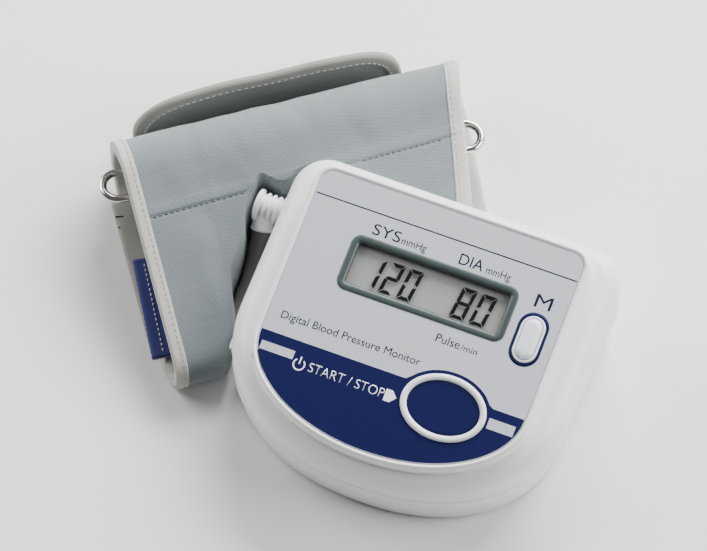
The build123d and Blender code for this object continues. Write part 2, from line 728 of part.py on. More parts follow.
def tail_profile(grow):
    """Cross-section of the free end: along the table, then curling up."""
    low = -grow
    high = TAIL_THICKNESS + grow
    outer = TAIL_RADIUS + grow
    inner = TAIL_RADIUS - TAIL_THICKNESS - grow
    bend_z = TAIL_RADIUS
    outer_t = TAIL_RISE_T + outer
    inner_t = TAIL_RISE_T + inner
    top = TAIL_HEIGHT + 5
    outer_mid = (TAIL_RISE_T + outer * sin(pi / 4), bend_z - outer * cos(pi / 4))
    inner_mid = (TAIL_RISE_T + inner * sin(pi / 4), bend_z - inner * cos(pi / 4))
    return make_face(
        [
            Line((TAIL_START, low), (TAIL_RISE_T, low)),
            ThreePointArc((TAIL_RISE_T, low), outer_mid, (outer_t, bend_z)),
            Line((outer_t, bend_z), (outer_t, top)),
            Line((outer_t, top), (inner_t, top)),
            Line((inner_t, top), (inner_t, bend_z)),
            ThreePointArc((inner_t, bend_z), inner_mid, (TAIL_RISE_T, high)),
            Line((TAIL_RISE_T, high), (TAIL_START, high)),
            Line((TAIL_START, high), (TAIL_START, low)),
        ]
    )


def tail_arch(inset):
    """Front view of the free end: a band with rounded top corners."""
    low = -20.0
    high = TAIL_HEIGHT - inset
    width = TAIL_SPAN[1] - TAIL_SPAN[0] - 2 * inset
    middle = (TAIL_SPAN[0] + TAIL_SPAN[1]) / 2
    outline = Pos(middle, (low + high) / 2) * RectangleRounded(
        width, high - low, TAIL_CORNER - inset
    )
    front = Plane(origin=(0, 200, 0), x_dir=(1, 0, 0), z_dir=(0, -1, 0))
    return CUFF.location * front.location * extrude(outline, 200)


def tail_block(grow):
    across = Plane(origin=(0, 0, BINDING_PROUD), x_dir=(0, 1, 0), z_dir=(1, 0, 0))
    return CUFF.location * across.location * extrude(tail_profile(grow), CUFF_WIDTH)


def make_tail():
    keep("cuff_tail", tail_block(0) & tail_arch(TAIL_BINDING))
    edge = tail_arch(0) - tail_arch(TAIL_BINDING)
    keep("tail_binding", tail_block(BINDING_PROUD) & edge)


def ring_place():
    """Where the ring lies: near the far fold, a little askew."""
    return CUFF.location * Pos(*RING_CENTRE) * Rot(0, 0, RING_SKEW)


def make_cuff_ring():
    """Long wire ring with round ends, its wire on the ring's centre line."""
    half = (RING_LENGTH - RING_WIDTH) / 2
    bend = (RING_WIDTH - RING_WIRE) / 2
    ends = [
        Line((-half, bend), (half, bend)),
        RadiusArc((half, bend), (half, -bend), bend),
        Line((half, -bend), (-half, -bend)),
        RadiusArc((-half, -bend), (-half, bend), bend),
    ]
    wire = Wire(ends)
    start = Plane(origin=wire @ 0, z_dir=wire % 0)
    return ring_place() * sweep(start * Circle(RING_WIRE / 2), path=wire)


SLEEVE_WALL = 1.2
SLEEVE_SPAN = (-50.0, 50.0)


def make_ring_sleeve():
    """Fabric tunnel that holds the ring's far bar, and its tail to the lower run."""
    bar = (RING_WIDTH - RING_WIRE) / 2
    bore = RING_WIRE / 2 + RUNNING_GAP
    tunnel = rod((SLEEVE_SPAN[0], bar, 0), (SLEEVE_SPAN[1], bar, 0), bore + SLEEVE_WALL)
    foot = CUFF_SHELL - RING_CENTRE[2]
    tail = block((SLEEVE_SPAN[0], bar - 0.6, foot), (SLEEVE_SPAN[1], bar + 0.6, -bore - 0.2))
    sleeve = tunnel + tail
    sleeve -= rod((SLEEVE_SPAN[0] - 1, bar, 0), (SLEEVE_SPAN[1] + 1, bar, 0), bore)
    return ring_place() * sleeve & loop_block(CUFF_SHELL + 0.05, 0, CUFF_WIDTH)


def make_edge_tabs():
    """Printed tabs sewn to the lower run's left edge: the artery mark and size label."""
    keep("artery_mark", CUFF * block((-4.6, 25, 0.4), (0, 68, 3.0)))
    keep("size_label", CUFF * block((-4.2, 68.3, 0.4), (0, 94, 2.4)))


# --- make and write every part -------------------------------------------------------------
keep("upper_case", make_upper_case())
keep("lower_case", make_lower_case())
keep("battery_cover", make_battery_cover())
keep("rubber_feet", make_rubber_feet())
keep("case_screws", make_case_screws())
keep("panel_label", make_panel_label())
keep("lcd_bezel", make_lcd_bezel())
keep("lcd_window", make_lcd_window())
keep("lcd_glass", make_lcd_glass())
keep("lcd_holder", make_lcd_holder())
keep("zebra_strips", make_zebra_strips())
keep("start_ring", make_start_ring())
keep("start_button", make_start_button())
keep("memory_ring", make_memory_ring())
keep("memory_button", make_memory_button())
keep("main_board", make_main_board())
keep("board_screws", make_board_screws())
keep("start_switch", make_switch(START_CENTRE))
keep("start_plunger", make_plunger(START_CENTRE))
keep("memory_switch", make_switch(MEMORY_CENTRE))
keep("memory_plunger", make_plunger(MEMORY_CENTRE))
keep("buzzer", make_buzzer())
keep("pressure_sensor", make_pressure_sensor())
keep("pump_motor", make_pump_motor())
keep("pump_shaft", make_pump_shaft())
keep("pump_head", make_pump_head())
keep("release_valve", make_release_valve())
keep("valve_plunger", make_valve_plunger())
keep("air_manifold", make_air_manifold())
keep("inner_hoses", make_inner_hoses())
keep("air_socket", make_air_socket())
keep("socket_seal", make_socket_seal())
keep("battery_cells", make_battery_cells())
keep("battery_contacts", make_battery_contacts())
keep("air_plug", make_air_plug())
keep("air_hose", make_air_hose())
make_cuff()
make_tail()
keep("cuff_ring", make_cuff_ring())
keep("ring_sleeve", make_ring_sleeve())
make_edge_tabs()

os.makedirs("parts", exist_ok=True)
for name, shape in nodes.items():
    export_step(shape, f"parts/{name}.step")

boxes = [shape.bounding_box() for name, shape in nodes.items()]
low = [min(getattr(b.min, axis) for b in boxes) for axis in "XYZ"]
high = [max(getattr(b.max, axis) for b in boxes) for axis in "XYZ"]
print("box", [round(v, 2) for v in low], [round(v, 2) for v in high])
print("footprint middle", [round((a + b) / 2, 2) for a, b in zip(low, high)][:2])
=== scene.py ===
from math import acos, cos, hypot, pi, radians, sin, sqrt, tan

import bmesh
import bpy
from mathutils import Matrix, Vector, noise


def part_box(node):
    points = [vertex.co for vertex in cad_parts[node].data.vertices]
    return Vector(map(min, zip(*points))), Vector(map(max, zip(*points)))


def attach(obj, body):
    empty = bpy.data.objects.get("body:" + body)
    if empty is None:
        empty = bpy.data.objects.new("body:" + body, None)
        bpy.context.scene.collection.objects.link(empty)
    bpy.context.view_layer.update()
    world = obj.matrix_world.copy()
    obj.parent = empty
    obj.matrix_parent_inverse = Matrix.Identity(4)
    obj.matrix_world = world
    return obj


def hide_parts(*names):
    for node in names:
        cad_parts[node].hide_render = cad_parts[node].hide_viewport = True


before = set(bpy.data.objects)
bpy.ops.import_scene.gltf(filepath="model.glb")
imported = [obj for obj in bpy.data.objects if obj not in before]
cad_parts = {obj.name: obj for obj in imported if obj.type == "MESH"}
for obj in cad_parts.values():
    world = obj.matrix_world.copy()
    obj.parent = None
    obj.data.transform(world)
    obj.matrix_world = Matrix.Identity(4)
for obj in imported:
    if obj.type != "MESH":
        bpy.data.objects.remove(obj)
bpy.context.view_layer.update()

# An upper-arm blood pressure monitor.  Lengths are in metres.  The desk unit is drawn in
# its own frame, X right and Y back, with the middle of the label's rear edge above its
# origin.  UNIT is where that frame's origin lies in the row's frame.
case_low, case_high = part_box("upper_case")
BODY_HALF = 0.0655
BODY_REAR = 0.014
UNIT = Vector(((case_low.x + case_high.x) / 2, case_high.y - BODY_REAR, 0.0))

BODY_SIDE_END = -0.050
BODY_FRONT_DEPTH = 0.0515
BODY_FRONT_POWER = 2.2
BODY_CORNER = 0.014
WALL = 0.0024
SPLIT = 0.020
SHOULDER_HEIGHT = 0.046
SHOULDER_TILT = radians(7.0)
SHOULDER_ROUND = 0.0085

PANEL_HEIGHT = 0.058
PANEL_TILT = radians(12.9)
LABEL_HALF = 0.052
LABEL_SIDE = -0.066
LABEL_FRONT_DEPTH = 0.0307
LABEL_CORNER = 0.005
RIM = 0.0026
LABEL_TOP = -0.0001
PRINT = 0.00003

collection = bpy.context.scene.collection


# --- materials -----------------------------------------------------------------------
MIX_FACTOR, MIX_A, MIX_B = 0, 6, 7      # a colour Mix node's sockets
MIX_RESULT = 2


def rgb(r, g, b):
    return (r, g, b, 1.0)


def grey(value):
    return (value, value, value, 1.0)


class Nodes:
    """Short calls for building one material's node tree."""

    def __init__(self, name):
        self.material = bpy.data.materials.new(name)
        self.material.use_nodes = True
        self.tree = self.material.node_tree
        self.tree.nodes.clear()
        self.out = self.add("ShaderNodeOutputMaterial")
        self.shader = self.add("ShaderNodeBsdfPrincipled")
        self.link(self.shader, "BSDF", self.out, "Surface")
        self.coords = self.add("ShaderNodeTexCoord")

    def add(self, kind, **values):
        node = self.tree.nodes.new(kind)
        for key, value in values.items():
            if hasattr(node, key):
                setattr(node, key, value)
            else:
                node.inputs[key.replace("_", " ")].default_value = value
        return node

    def link(self, a, out, b, socket):
        self.tree.links.new(a.outputs[out], b.inputs[socket])

    def set(self, **values):
        for key, value in values.items():
            self.shader.inputs[key.replace("_", " ")].default_value = value

    def place(self, source="Object", scale=(1, 1, 1), turn=(0, 0, 0)):
        mapping = self.add("ShaderNodeMapping")
        mapping.inputs["Scale"].default_value = scale
        mapping.inputs["Rotation"].default_value = turn
        self.link(self.coords, source, mapping, "Vector")
        return mapping

    def noise(self, scale, detail=3.0, rough=0.5, source="Object", stretch=(1, 1, 1)):
        mapping = self.place(source, stretch)
        node = self.add("ShaderNodeTexNoise")
        node.inputs["Scale"].default_value = scale
        node.inputs["Detail"].default_value = detail
        node.inputs["Roughness"].default_value = rough
        self.link(mapping, "Vector", node, "Vector")
        return node

    def ramp(self, node, out, stops):
        ramp = self.add("ShaderNodeValToRGB")
        elements = ramp.color_ramp.elements
        elements[0].position, elements[0].color = stops[0][0], stops[0][1]
        elements[1].position, elements[1].color = stops[-1][0], stops[-1][1]
        for position, color in stops[1:-1]:
            elements.new(position).color = color
        self.link(node, out, ramp, "Fac")
        return ramp

    def feed(self, socket, value):
        """Give a socket a plain value, or a link from (node, output)."""
        if isinstance(value, tuple) and hasattr(value[0], "outputs"):
            self.tree.links.new(value[0].outputs[value[1]], socket)
        else:
            socket.default_value = value

    def math(self, operation, a, b=None):
        node = self.add("ShaderNodeMath")
        node.operation = operation
        self.feed(node.inputs[0], a)
        if b is not None:
            self.feed(node.inputs[1], b)
        return node

    def mix(self, factor, a, b, blend="MIX"):
        node = self.add("ShaderNodeMix")
        node.data_type = "RGBA"
        node.blend_type = blend
        for socket, value in zip((MIX_FACTOR, MIX_A, MIX_B), (factor, a, b)):
            self.feed(node.inputs[socket], value)
        return node

    def patched(self, tone, scale, detail, low):
        """Base colour: a tone made a little darker in broad patches."""
        patch = self.noise(scale, detail)
        shade = self.ramp(patch, "Fac", [(0.3, grey(low)), (0.7, grey(1))])
        final = self.mix(1.0, (tone, 0), (shade, 0), "MULTIPLY")
        self.link(final, MIX_RESULT, self.shader, "Base Color")

    def bump(self, height, out, strength, distance):
        bump = self.add("ShaderNodeBump")
        bump.inputs["Strength"].default_value = strength
        bump.inputs["Distance"].default_value = distance
        self.link(height, out, bump, "Height")
        self.link(bump, "Normal", self.shader, "Normal")
        return bump


def plastic(name, color, roughness=0.35, grain=0.25, mottle=0.03, coat=0.0):
    """Moulded plastic: fine spark grain, faint mottling, and handling marks in the gloss."""
    n = Nodes(name)
    wide = n.noise(35.0, 4.0)
    dark = tuple(c * (1 - mottle) for c in color)
    tone = n.ramp(wide, "Fac", [(0.35, rgb(*dark)), (0.65, rgb(*color))])
    n.link(tone, "Color", n.shader, "Base Color")
    marks = n.noise(140.0, 5.0, 0.65)
    spread = n.ramp(marks, "Fac", [(0.3, grey(roughness * 0.88)), (0.7, grey(roughness * 1.15))])
    n.link(spread, "Color", n.shader, "Roughness")
    n.bump(n.noise(2600.0, 2.0), "Fac", grain, 0.00004)
    n.set(IOR=1.5, Coat_Weight=coat, Coat_Roughness=0.08)
    return n.material


def metal(name, color, roughness, scale=900.0):
    """Plated or brushed metal with fine drawn lines and slight tarnish."""
    n = Nodes(name)
    tarnish = n.noise(60.0, 5.0, 0.6)
    dull = tuple(c * 0.82 for c in color)
    tone = n.ramp(tarnish, "Fac", [(0.3, rgb(*dull)), (0.62, rgb(*color))])
    n.link(tone, "Color", n.shader, "Base Color")
    lines = n.noise(scale, 3.0, 0.6)
    spread = n.ramp(lines, "Fac", [(0.3, grey(roughness * 0.75)), (0.7, grey(roughness * 1.3))])
    n.link(spread, "Color", n.shader, "Roughness")
    n.bump(lines, "Fac", 0.15, 0.00002)
    n.set(Metallic=1.0)
    return n.material


def ink(name, color, roughness=0.42):
    """Screen-printed ink: slightly uneven cover over the label's grain."""
    n = Nodes(name)
    cover = n.noise(500.0, 4.0, 0.6)
    thin = tuple(c * 0.93 for c in color)
    tone = n.ramp(cover, "Fac", [(0.35, rgb(*thin)), (0.6, rgb(*color))])
    n.link(tone, "Color", n.shader, "Base Color")
    n.bump(n.noise(3000.0, 2.0), "Fac", 0.12, 0.00003)
    n.set(Roughness=roughness, IOR=1.5, Specular_IOR_Level=0.12)
    return n.material


def weave(name, warp, weft, pitch, depth, mottle=0.10):
    """Plain-woven cloth: over-and-under threads along the piece's own two directions, with painted shade
    darkening the gaps between threads.
    """
    n = Nodes(name)
    mapping = n.place("UV", (1 / pitch, 1 / pitch, 1 / pitch))
    split = n.add("ShaderNodeSeparateXYZ")
    n.link(mapping, "Vector", split, "Vector")

    def thread(axis, other, sense):
        """Height of one thread family: round across, and waving over and under along."""
        across = n.math("MULTIPLY", (split, axis), pi)
        across = n.math("ABSOLUTE", (n.math("SINE", (across, 0)), 0))
        turn = n.math("MULTIPLY", (n.math("FLOOR", (split, axis)), 0), pi)
        phase = n.math("ADD", (turn, 0), (n.math("MULTIPLY", (split, other), pi), 0))
        along = n.math("MULTIPLY", (n.math("SINE", (phase, 0)), 0), 0.5 * sense)
        return n.math("MULTIPLY", (across, 0), (n.math("ADD", (along, 0), 0.5), 0))

    one = thread("X", "Y", 1)
    two = thread("Y", "X", -1)
    height = n.math("MAXIMUM", (one, 0), (two, 0))
    which = n.math("GREATER_THAN", (one, 0), (two, 0))
    threads = n.mix((which, 0), rgb(*weft), rgb(*warp))
    # painted shade: the colour falls to 0.45 where the threads dip into the gaps between them
    gap = n.ramp(height, 0, [(0.0, grey(0.45)), (0.55, grey(1))])
    patch = n.noise(28.0, 5.0, 0.6)
    tone = n.ramp(patch, "Fac", [(0.3, grey(1 - mottle)), (0.7, grey(1))])
    slub = n.noise(90.0, 2.0, 0.5, "UV", (1, 14, 1))
    streak = n.ramp(slub, "Fac", [(0.35, grey(0.93)), (0.65, grey(1))])
    final = threads
    for shade in (gap, tone, streak):
        final = n.mix(1.0, (final, MIX_RESULT), (shade, 0), "MULTIPLY")
    n.link(final, MIX_RESULT, n.shader, "Base Color")
    n.bump(height, 0, 0.55, depth)
    n.set(Roughness=0.8, Sheen_Weight=0.25, Sheen_Roughness=0.5)
    return n.material


def knit(name, color):
    """Brushed loop pile: soft nap with tiny hooks of lighter fibre."""
    n = Nodes(name)
    nap = n.add("ShaderNodeTexVoronoi")
    n.link(n.place("Object", (1500, 1500, 1500)), "Vector", nap, "Vector")
    light = tuple(min(1.0, c * 1.25) for c in color)
    tone = n.ramp(nap, "Distance", [(0.1, rgb(*light)), (0.75, rgb(*[c * 0.72 for c in color]))])
    n.patched(tone, 45.0, 4.0, 0.86)
    n.bump(nap, "Distance", 0.7, 0.0003)
    n.set(Roughness=0.95, Sheen_Weight=0.4, Sheen_Roughness=0.6)
    return n.material


def soft_rubber(name, color, roughness):
    """Matt rubber or thread, with a faint bloom."""
    n = Nodes(name)
    bloom = n.noise(80.0, 4.0)
    tone = n.ramp(bloom, "Fac", [(0.3, rgb(*[c * 0.9 for c in color])), (0.7, rgb(*color))])
    n.link(tone, "Color", n.shader, "Base Color")
    n.bump(n.noise(1800.0, 2.0), "Fac", 0.2, 0.00004)
    n.set(Roughness=roughness, IOR=1.48)
    return n.material


WHITE = plastic("casing_white", (0.86, 0.86, 0.85), 0.36, 0.22, 0.02)
INSIDE = plastic("casing_inside", (0.74, 0.74, 0.72), 0.5, 0.4)
BLACK = plastic("black_moulding", (0.02, 0.02, 0.022), 0.42, 0.3)
GLOSS_WHITE = plastic("gloss_white", (0.90, 0.92, 0.94), 0.22, 0.08, 0.01, 0.3)
KEY_WHITE = plastic("key_white", (0.80, 0.84, 0.90), 0.30, 0.10, 0.02, 0.2)
BEZEL = plastic("bezel_dark", (0.045, 0.063, 0.061), 0.38, 0.15)
STEEL = metal("zinc_steel", (0.60, 0.61, 0.62), 0.35)
NICKEL = metal("nickel_wire", (0.74, 0.72, 0.68), 0.17, scale=500.0)
HOSE = soft_rubber("hose_grey", (0.135, 0.135, 0.128), 0.42)
SEAL = soft_rubber("seal_rubber", (0.05, 0.05, 0.052), 0.55)
FOOT = soft_rubber("foot_rubber", (0.16, 0.16, 0.165), 0.7)
BLUE_INK = ink("ink_blue", (0.0080, 0.0094, 0.060))
DARK_INK = ink("ink_navy", (0.012, 0.015, 0.035))
PALE_INK = ink("ink_pale", (0.50, 0.525, 0.575))
WHITE_INK = ink("ink_white", (0.88, 0.90, 0.93))
BLACK_INK = ink("lcd_segment", (0.004, 0.004, 0.005), 0.5)
NYLON = weave("nylon_weave", (0.215, 0.250, 0.262), (0.180, 0.212, 0.226), 0.0008, 0.00014)
LINING = knit("loop_lining", (0.170, 0.198, 0.178))
TAPE = weave("binding_tape", (0.62, 0.60, 0.555), (0.55, 0.53, 0.485), 0.0005, 0.00012, 0.08)
# the free end's tape: the edge tape's colour at a little over half its brightness
TAPE_DARKER = weave("binding_tape_darker", (0.34, 0.33, 0.295), (0.29, 0.28, 0.25), 0.0005, 0.00012, 0.08)
BLUE_CLOTH = weave("artery_blue", (0.016, 0.022, 0.190), (0.012, 0.018, 0.150), 0.0005, 0.0001, 0.12)
LABEL_CLOTH = weave("size_label_cloth", (0.36, 0.35, 0.32), (0.31, 0.30, 0.27), 0.0004, 0.00006, 0.06)
WADDING = knit("wadding", (0.66, 0.66, 0.63))
FILM = soft_rubber("bladder_film", (0.52, 0.52, 0.49), 0.35)
SEAM_THREAD = soft_rubber("thread_dark", (0.085, 0.100, 0.115), 0.8)
PALE_THREAD = soft_rubber("thread_pale", (0.40, 0.385, 0.36), 0.8)
WHITE_THREAD = soft_rubber("thread_white", (0.70, 0.71, 0.72), 0.8)


def label_material():
    """Satin silver-grey polycarbonate: fine pearl flecks under a matt skin."""
    n = Nodes("label_satin")
    fleck = n.noise(2200.0, 3.0, 0.7)
    tone = n.ramp(fleck, "Fac", [(0.3, rgb(0.50, 0.525, 0.575)), (0.7, rgb(0.60, 0.625, 0.675))])
    n.patched(tone, 18.0, 3.0, 0.97)
    n.bump(n.noise(4200.0, 2.0), "Fac", 0.2, 0.00003)
    n.set(Metallic=0.15, Roughness=0.42)
    return n.material


def lcd_material():
    """Reflective display: pale grey-green with the faint grain of its rear diffuser."""
    n = Nodes("lcd_reflector")
    grain = n.noise(2600.0, 3.0, 0.7)
    tone = n.ramp(grain, "Fac", [(0.3, rgb(0.30, 0.315, 0.295)), (0.7, rgb(0.35, 0.365, 0.34))])
    n.patched(tone, 25.0, 3.0, 0.95)
    n.set(Roughness=0.5)
    return n.material


def window_material():
    """Clear display window: almost invisible but for its gloss and fine scratches."""
    n = Nodes("window_clear")
    scratch = n.noise(300.0, 5.0, 0.7, stretch=(1, 9, 1))
    spread = n.ramp(scratch, "Fac", [(0.45, grey(0.03)), (0.8, grey(0.14))])
    n.link(spread, "Color", n.shader, "Roughness")
    tint = n.ramp(n.noise(12.0), "Fac", [(0, rgb(0.02, 0.025, 0.024)), (1, rgb(0.04, 0.045, 0.044))])
    n.link(tint, "Color", n.shader, "Base Color")
    n.set(Alpha=0.03, IOR=1.5, Specular_IOR_Level=0.3)
    return n.material


def key_material():
    """Deep blue gloss key with a soft gradient of depth."""
    n = Nodes("key_blue")
    drift = n.noise(60.0, 2.0)
    tone = n.ramp(drift, "Fac", [(0.3, rgb(0.0035, 0.0050, 0.030)), (0.7, rgb(0.0055, 0.0070, 0.042))])
    n.link(tone, "Color", n.shader, "Base Color")
    n.bump(n.noise(900.0, 2.0), "Fac", 0.05, 0.00002)
    n.set(Roughness=0.30, Coat_Weight=0.25, Coat_Roughness=0.08, IOR=1.5, Specular_IOR_Level=0.3)
    return n.material


def board_material():
    """Green solder mask with copper tracks showing as a slightly lighter pattern."""
    n = Nodes("board_green")
    brick = n.add("ShaderNodeTexBrick")
    n.link(n.place("Object", (420, 420, 420)), "Vector", brick, "Vector")
    brick.inputs["Color1"].default_value = rgb(0.012, 0.085, 0.035)
    brick.inputs["Color2"].default_value = rgb(0.014, 0.105, 0.045)
    brick.inputs["Mortar"].default_value = rgb(0.03, 0.17, 0.07)
    n.link(brick, "Color", n.shader, "Base Color")
    n.bump(brick, "Fac", 0.3, 0.00004)
    n.set(Roughness=0.35)
    return n.material


def cell_material():
    """Printed battery sleeve: dark body, scuffed."""
    n = Nodes("cell_sleeve")
    scuff = n.noise(200.0, 5.0, 0.7)
    tone = n.ramp(scuff, "Fac", [(0.35, rgb(0.015, 0.015, 0.017)), (0.65, rgb(0.035, 0.035, 0.04))])
    n.link(tone, "Color", n.shader, "Base Color")
    n.bump(scuff, "Fac", 0.15, 0.00005)
    n.set(Roughness=0.3, Metallic=0.4)
    return n.material


LABEL = label_material()
LCD = lcd_material()
WINDOW = window_material()
KEY_BLUE = key_material()
BOARD = board_material()
CELL = cell_material()


# --- mesh helpers --------------------------------------------------------------------------
def mesh_piece(name, vertices, faces, material, body, smooth=True, uvs=None):
    mesh = bpy.data.meshes.new(name)
    mesh.from_pydata([tuple(v) for v in vertices], [], faces)
    mesh.materials.append(material)
    if uvs is not None:
        layer = mesh.uv_layers.new(name="UVMap")
        for loop in mesh.loops:
            layer.data[loop.index].uv = uvs[loop.vertex_index]
    mesh.validate()
    shape = bmesh.new()
    shape.from_mesh(mesh)
    bmesh.ops.recalc_face_normals(shape, faces=shape.faces)
    shape.to_mesh(mesh)
    shape.free()
    for face in mesh.polygons:
        face.use_smooth = smooth
    piece = bpy.data.objects.new(name, mesh)
    collection.objects.link(piece)
    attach(piece, body)
    return piece


def lerp(a, b, f):
    return a * (1 - f) + b * f


def circle(centre, side, up, radius, count):
    """Points on a circle spanned by two unit directions."""
    angles = [2 * pi * k / count for k in range(count)]
    return [centre + (side * cos(a) + up * sin(a)) * radius for a in angles]


def ring_faces(rings, closed_profile=False):
    """Quads between successive rings of equal length."""
    count = len(rings[0])
    faces = []
    last = len(rings) if closed_profile else len(rings) - 1
    for i in range(last):
        j = (i + 1) % len(rings)
        for k in range(count):
            m = (k + 1) % count
            faces.append((i * count + k, i * count + m, j * count + m, j * count + k))
    return faces


def ring_piece(name, rings, material, body, cap_first=False, cap_last=False, closed_profile=False):
    vertices = [v for ring in rings for v in ring]
    faces = ring_faces(rings, closed_profile)
    count = len(rings[0])
    if cap_first:
        faces.append(tuple(range(count)))
    if cap_last:
        start = (len(rings) - 1) * count
        faces.append(tuple(range(start, start + count)))
    return mesh_piece(name, vertices, faces, material, body)


# --- outlines of the desk unit -----------------------------------------------------------------
def shield(half, rear, side_end, depth, power, corner, fine=1):
    """Plan of the body or label, counter-clockwise from the front end of its right side."""
    points = []

    def line(a, b, count):
        for i in range(count):
            f = i / count
            points.append((a[0] + (b[0] - a[0]) * f, a[1] + (b[1] - a[1]) * f))

    def arc(cx, cy, start, count):
        for i in range(count):
            angle = start + pi / 2 * i / count
            points.append((cx + corner * cos(angle), cy + corner * sin(angle)))

    line((half, side_end), (half, rear - corner), 12 * fine)
    arc(half - corner, rear - corner, 0, 10 * fine)
    line((half - corner, rear), (corner - half, rear), 20 * fine)
    arc(corner - half, rear - corner, pi / 2, 10 * fine)
    line((-half, rear - corner), (-half, side_end), 12 * fine)
    steps = 64 * fine
    for i in range(steps):
        angle = pi * i / steps
        x = half * abs(cos(angle)) ** (2 / power)
        y = depth * abs(sin(angle)) ** (2 / power)
        points.append((-x if angle < pi / 2 else x, side_end - y))
    return points


def body_outline(inset=0.0):
    corner = BODY_CORNER - min(inset, BODY_CORNER - 0.001)
    return shield(
        BODY_HALF - inset, BODY_REAR - inset, BODY_SIDE_END, BODY_FRONT_DEPTH - inset,
        BODY_FRONT_POWER, corner,
    )


def label_outline(grow=0.0):
    corner = LABEL_CORNER + max(grow, 0.001 - LABEL_CORNER)
    return shield(
        LABEL_HALF + grow, grow, LABEL_SIDE, LABEL_FRONT_DEPTH + grow, 2.0, corner
    )


def at_unit(x, y, z):
    return Vector((x + UNIT.x, y + UNIT.y, z))


def at_panel(u, w, n):
    """A point on the sloping panel: right, up the slope, and out of it."""
    s, c = sin(PANEL_TILT), cos(PANEL_TILT)
    return at_unit(u, w * c - n * s, PANEL_HEIGHT + w * s + n * c)


def shoulder_z(y):
    return SHOULDER_HEIGHT + (y - BODY_REAR) * tan(SHOULDER_TILT)


def shoulder_depth(w, lift=0.0):
    """How far below the panel's plane the shoulder lies, at w up the slope."""
    s, c, t = sin(PANEL_TILT), cos(PANEL_TILT), tan(SHOULDER_TILT)
    target = SHOULDER_HEIGHT + lift - BODY_REAR * t - PANEL_HEIGHT
    return (target + w * (c * t - s)) / (c + s * t)


def round_drop(inset):
    """How far the rounded shoulder has fallen at this distance in from the wall."""
    inset = min(max(inset, 0.0), SHOULDER_ROUND)
    return SHOULDER_ROUND - sqrt(SHOULDER_ROUND ** 2 - (SHOULDER_ROUND - inset) ** 2)


def edge_gap(point, outline):
    """Shortest distance in plan from a point to a closed outline."""
    best = 1.0
    here = Vector(point)
    for i, a in enumerate(outline):
        start = Vector(a)
        run = Vector(outline[(i + 1) % len(outline)]) - start
        share = min(1.0, max(0.0, (here - start).dot(run) / max(run.dot(run), 1e-12)))
        best = min(best, (here - start - run * share).length)
    return best


def shoulder_base(grow, lift, drops=None):
    """Ring where the raised panel's wall meets the shoulder."""
    outline = label_outline(grow)
    drops = drops or [0.0] * len(outline)
    return [at_panel(u, w, shoulder_depth(w, lift - drop)) for (u, w), drop in zip(outline, drops)]


def level(outline, z):
    return [at_unit(x, y, z) for x, y in outline]


def shoulder_ring(inset, drop):
    return [at_unit(x, y, shoulder_z(y) - drop) for x, y in body_outline(inset)]


# --- desk unit: casing -----------------------------------------------------------------------------
# The rim round the label: (depth below the panel's plane, growth of the rim's outline).
RIM_OUTSIDE = ((0.0026, 0.0), (0.0013, 0.0), (0.0004, -0.0003), (-0.0002, -0.0009), (-0.0003, -0.0013))
RIM_INSIDE = (
    (-0.0002, -0.0017), (0.0001, -0.0021), (0.0006, -0.00225), (0.00065, -0.0068),
    (0.0024, -0.0068), (0.0024, -0.0047),
)
RING_ROOM = 0.0006      # kept between the wall's rounding and the rim's foot
ROUND_STEPS = 9


def make_upper_case():
    rings = [level(body_outline(0.0004), SPLIT - 0.0001)]
    rings.append(level(body_outline(0.0), SPLIT + 0.0004))
    wall = body_outline(0.0)
    crest = body_outline(SHOULDER_ROUND)
    foot = [(p.x - UNIT.x, p.y - UNIT.y) for p in shoulder_base(RIM + 0.0010, 0.0)]
    room = [max(edge_gap(p, wall) - RING_ROOM, 0.0002) for p in foot]
    for i in range(ROUND_STEPS + 1):
        full = SHOULDER_ROUND * (1 - cos(pi / 2 * i / ROUND_STEPS))
        lowest = SPLIT + 0.0012 + 0.0001 * i
        ring = []
        for a, b, space in zip(wall, crest, room):
            inset = full * min(1.0, space / SHOULDER_ROUND)
            share = inset / SHOULDER_ROUND
            x, y = a[0] + (b[0] - a[0]) * share, a[1] + (b[1] - a[1]) * share
            ring.append(at_unit(x, y, max(shoulder_z(y) - round_drop(inset), lowest)))
        rings.append(ring)
    drops = [round_drop(space) for space in room]
    rings.append(shoulder_base(RIM + 0.0010, 0.0, drops))
    rings.append(shoulder_base(RIM + 0.0003, 0.00025, drops))
    rings.append(shoulder_base(RIM, 0.0010, drops))
    for depth, grow in RIM_OUTSIDE:
        ring = []
        for u, w in label_outline(RIM + grow):
            ring.append(at_panel(u, w, max(-depth, shoulder_depth(w, 0.0012) * 0.98)))
        rings.append(ring)
    for depth, grow in RIM_INSIDE:
        rings.append([at_panel(u, w, -depth) for u, w in label_outline(RIM + grow)])
    rings.append(shoulder_base(RIM - WALL, -WALL))
    rings.append(shoulder_ring(WALL + 0.006, WALL))
    rings.append(shoulder_ring(WALL + 0.0015, WALL + 0.004))
    rings.append(level(body_outline(WALL), SPLIT + 0.003))
    rings.append(level(body_outline(WALL), SPLIT))
    piece = ring_piece("upper_casing", rings, WHITE, "desk_unit", closed_profile=True)
    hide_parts("upper_case")
    return piece


# --- desk unit: panel pieces -----------------------------------------------------------------------
def ellipse_outline(centre, radii, grow=0.0, count=96):
    angles = [2 * pi * i / count for i in range(count)]
    half_w, half_h = radii[0] + grow, radii[1] + grow
    return [(centre[0] + half_w * cos(a), centre[1] + half_h * sin(a)) for a in angles]


def round_box_outline(centre, size, corner, grow=0.0, fine=8):
    half_w, half_h, r = size[0] / 2 + grow, size[1] / 2 + grow, max(corner + grow, 0.0001)
    points = []
    for k, (sx, sy) in enumerate(((1, 1), (-1, 1), (-1, -1), (1, -1))):
        for i in range(fine + 1):
            angle = pi / 2 * (k + i / fine)
            x = centre[0] + sx * (half_w - r) + r * cos(angle)
            y = centre[1] + sy * (half_h - r) + r * sin(angle)
            points.append((x, y))
    return points


def pill_outline(centre, size, grow=0.0):
    return round_box_outline(centre, size, size[0] / 2, grow, 14)


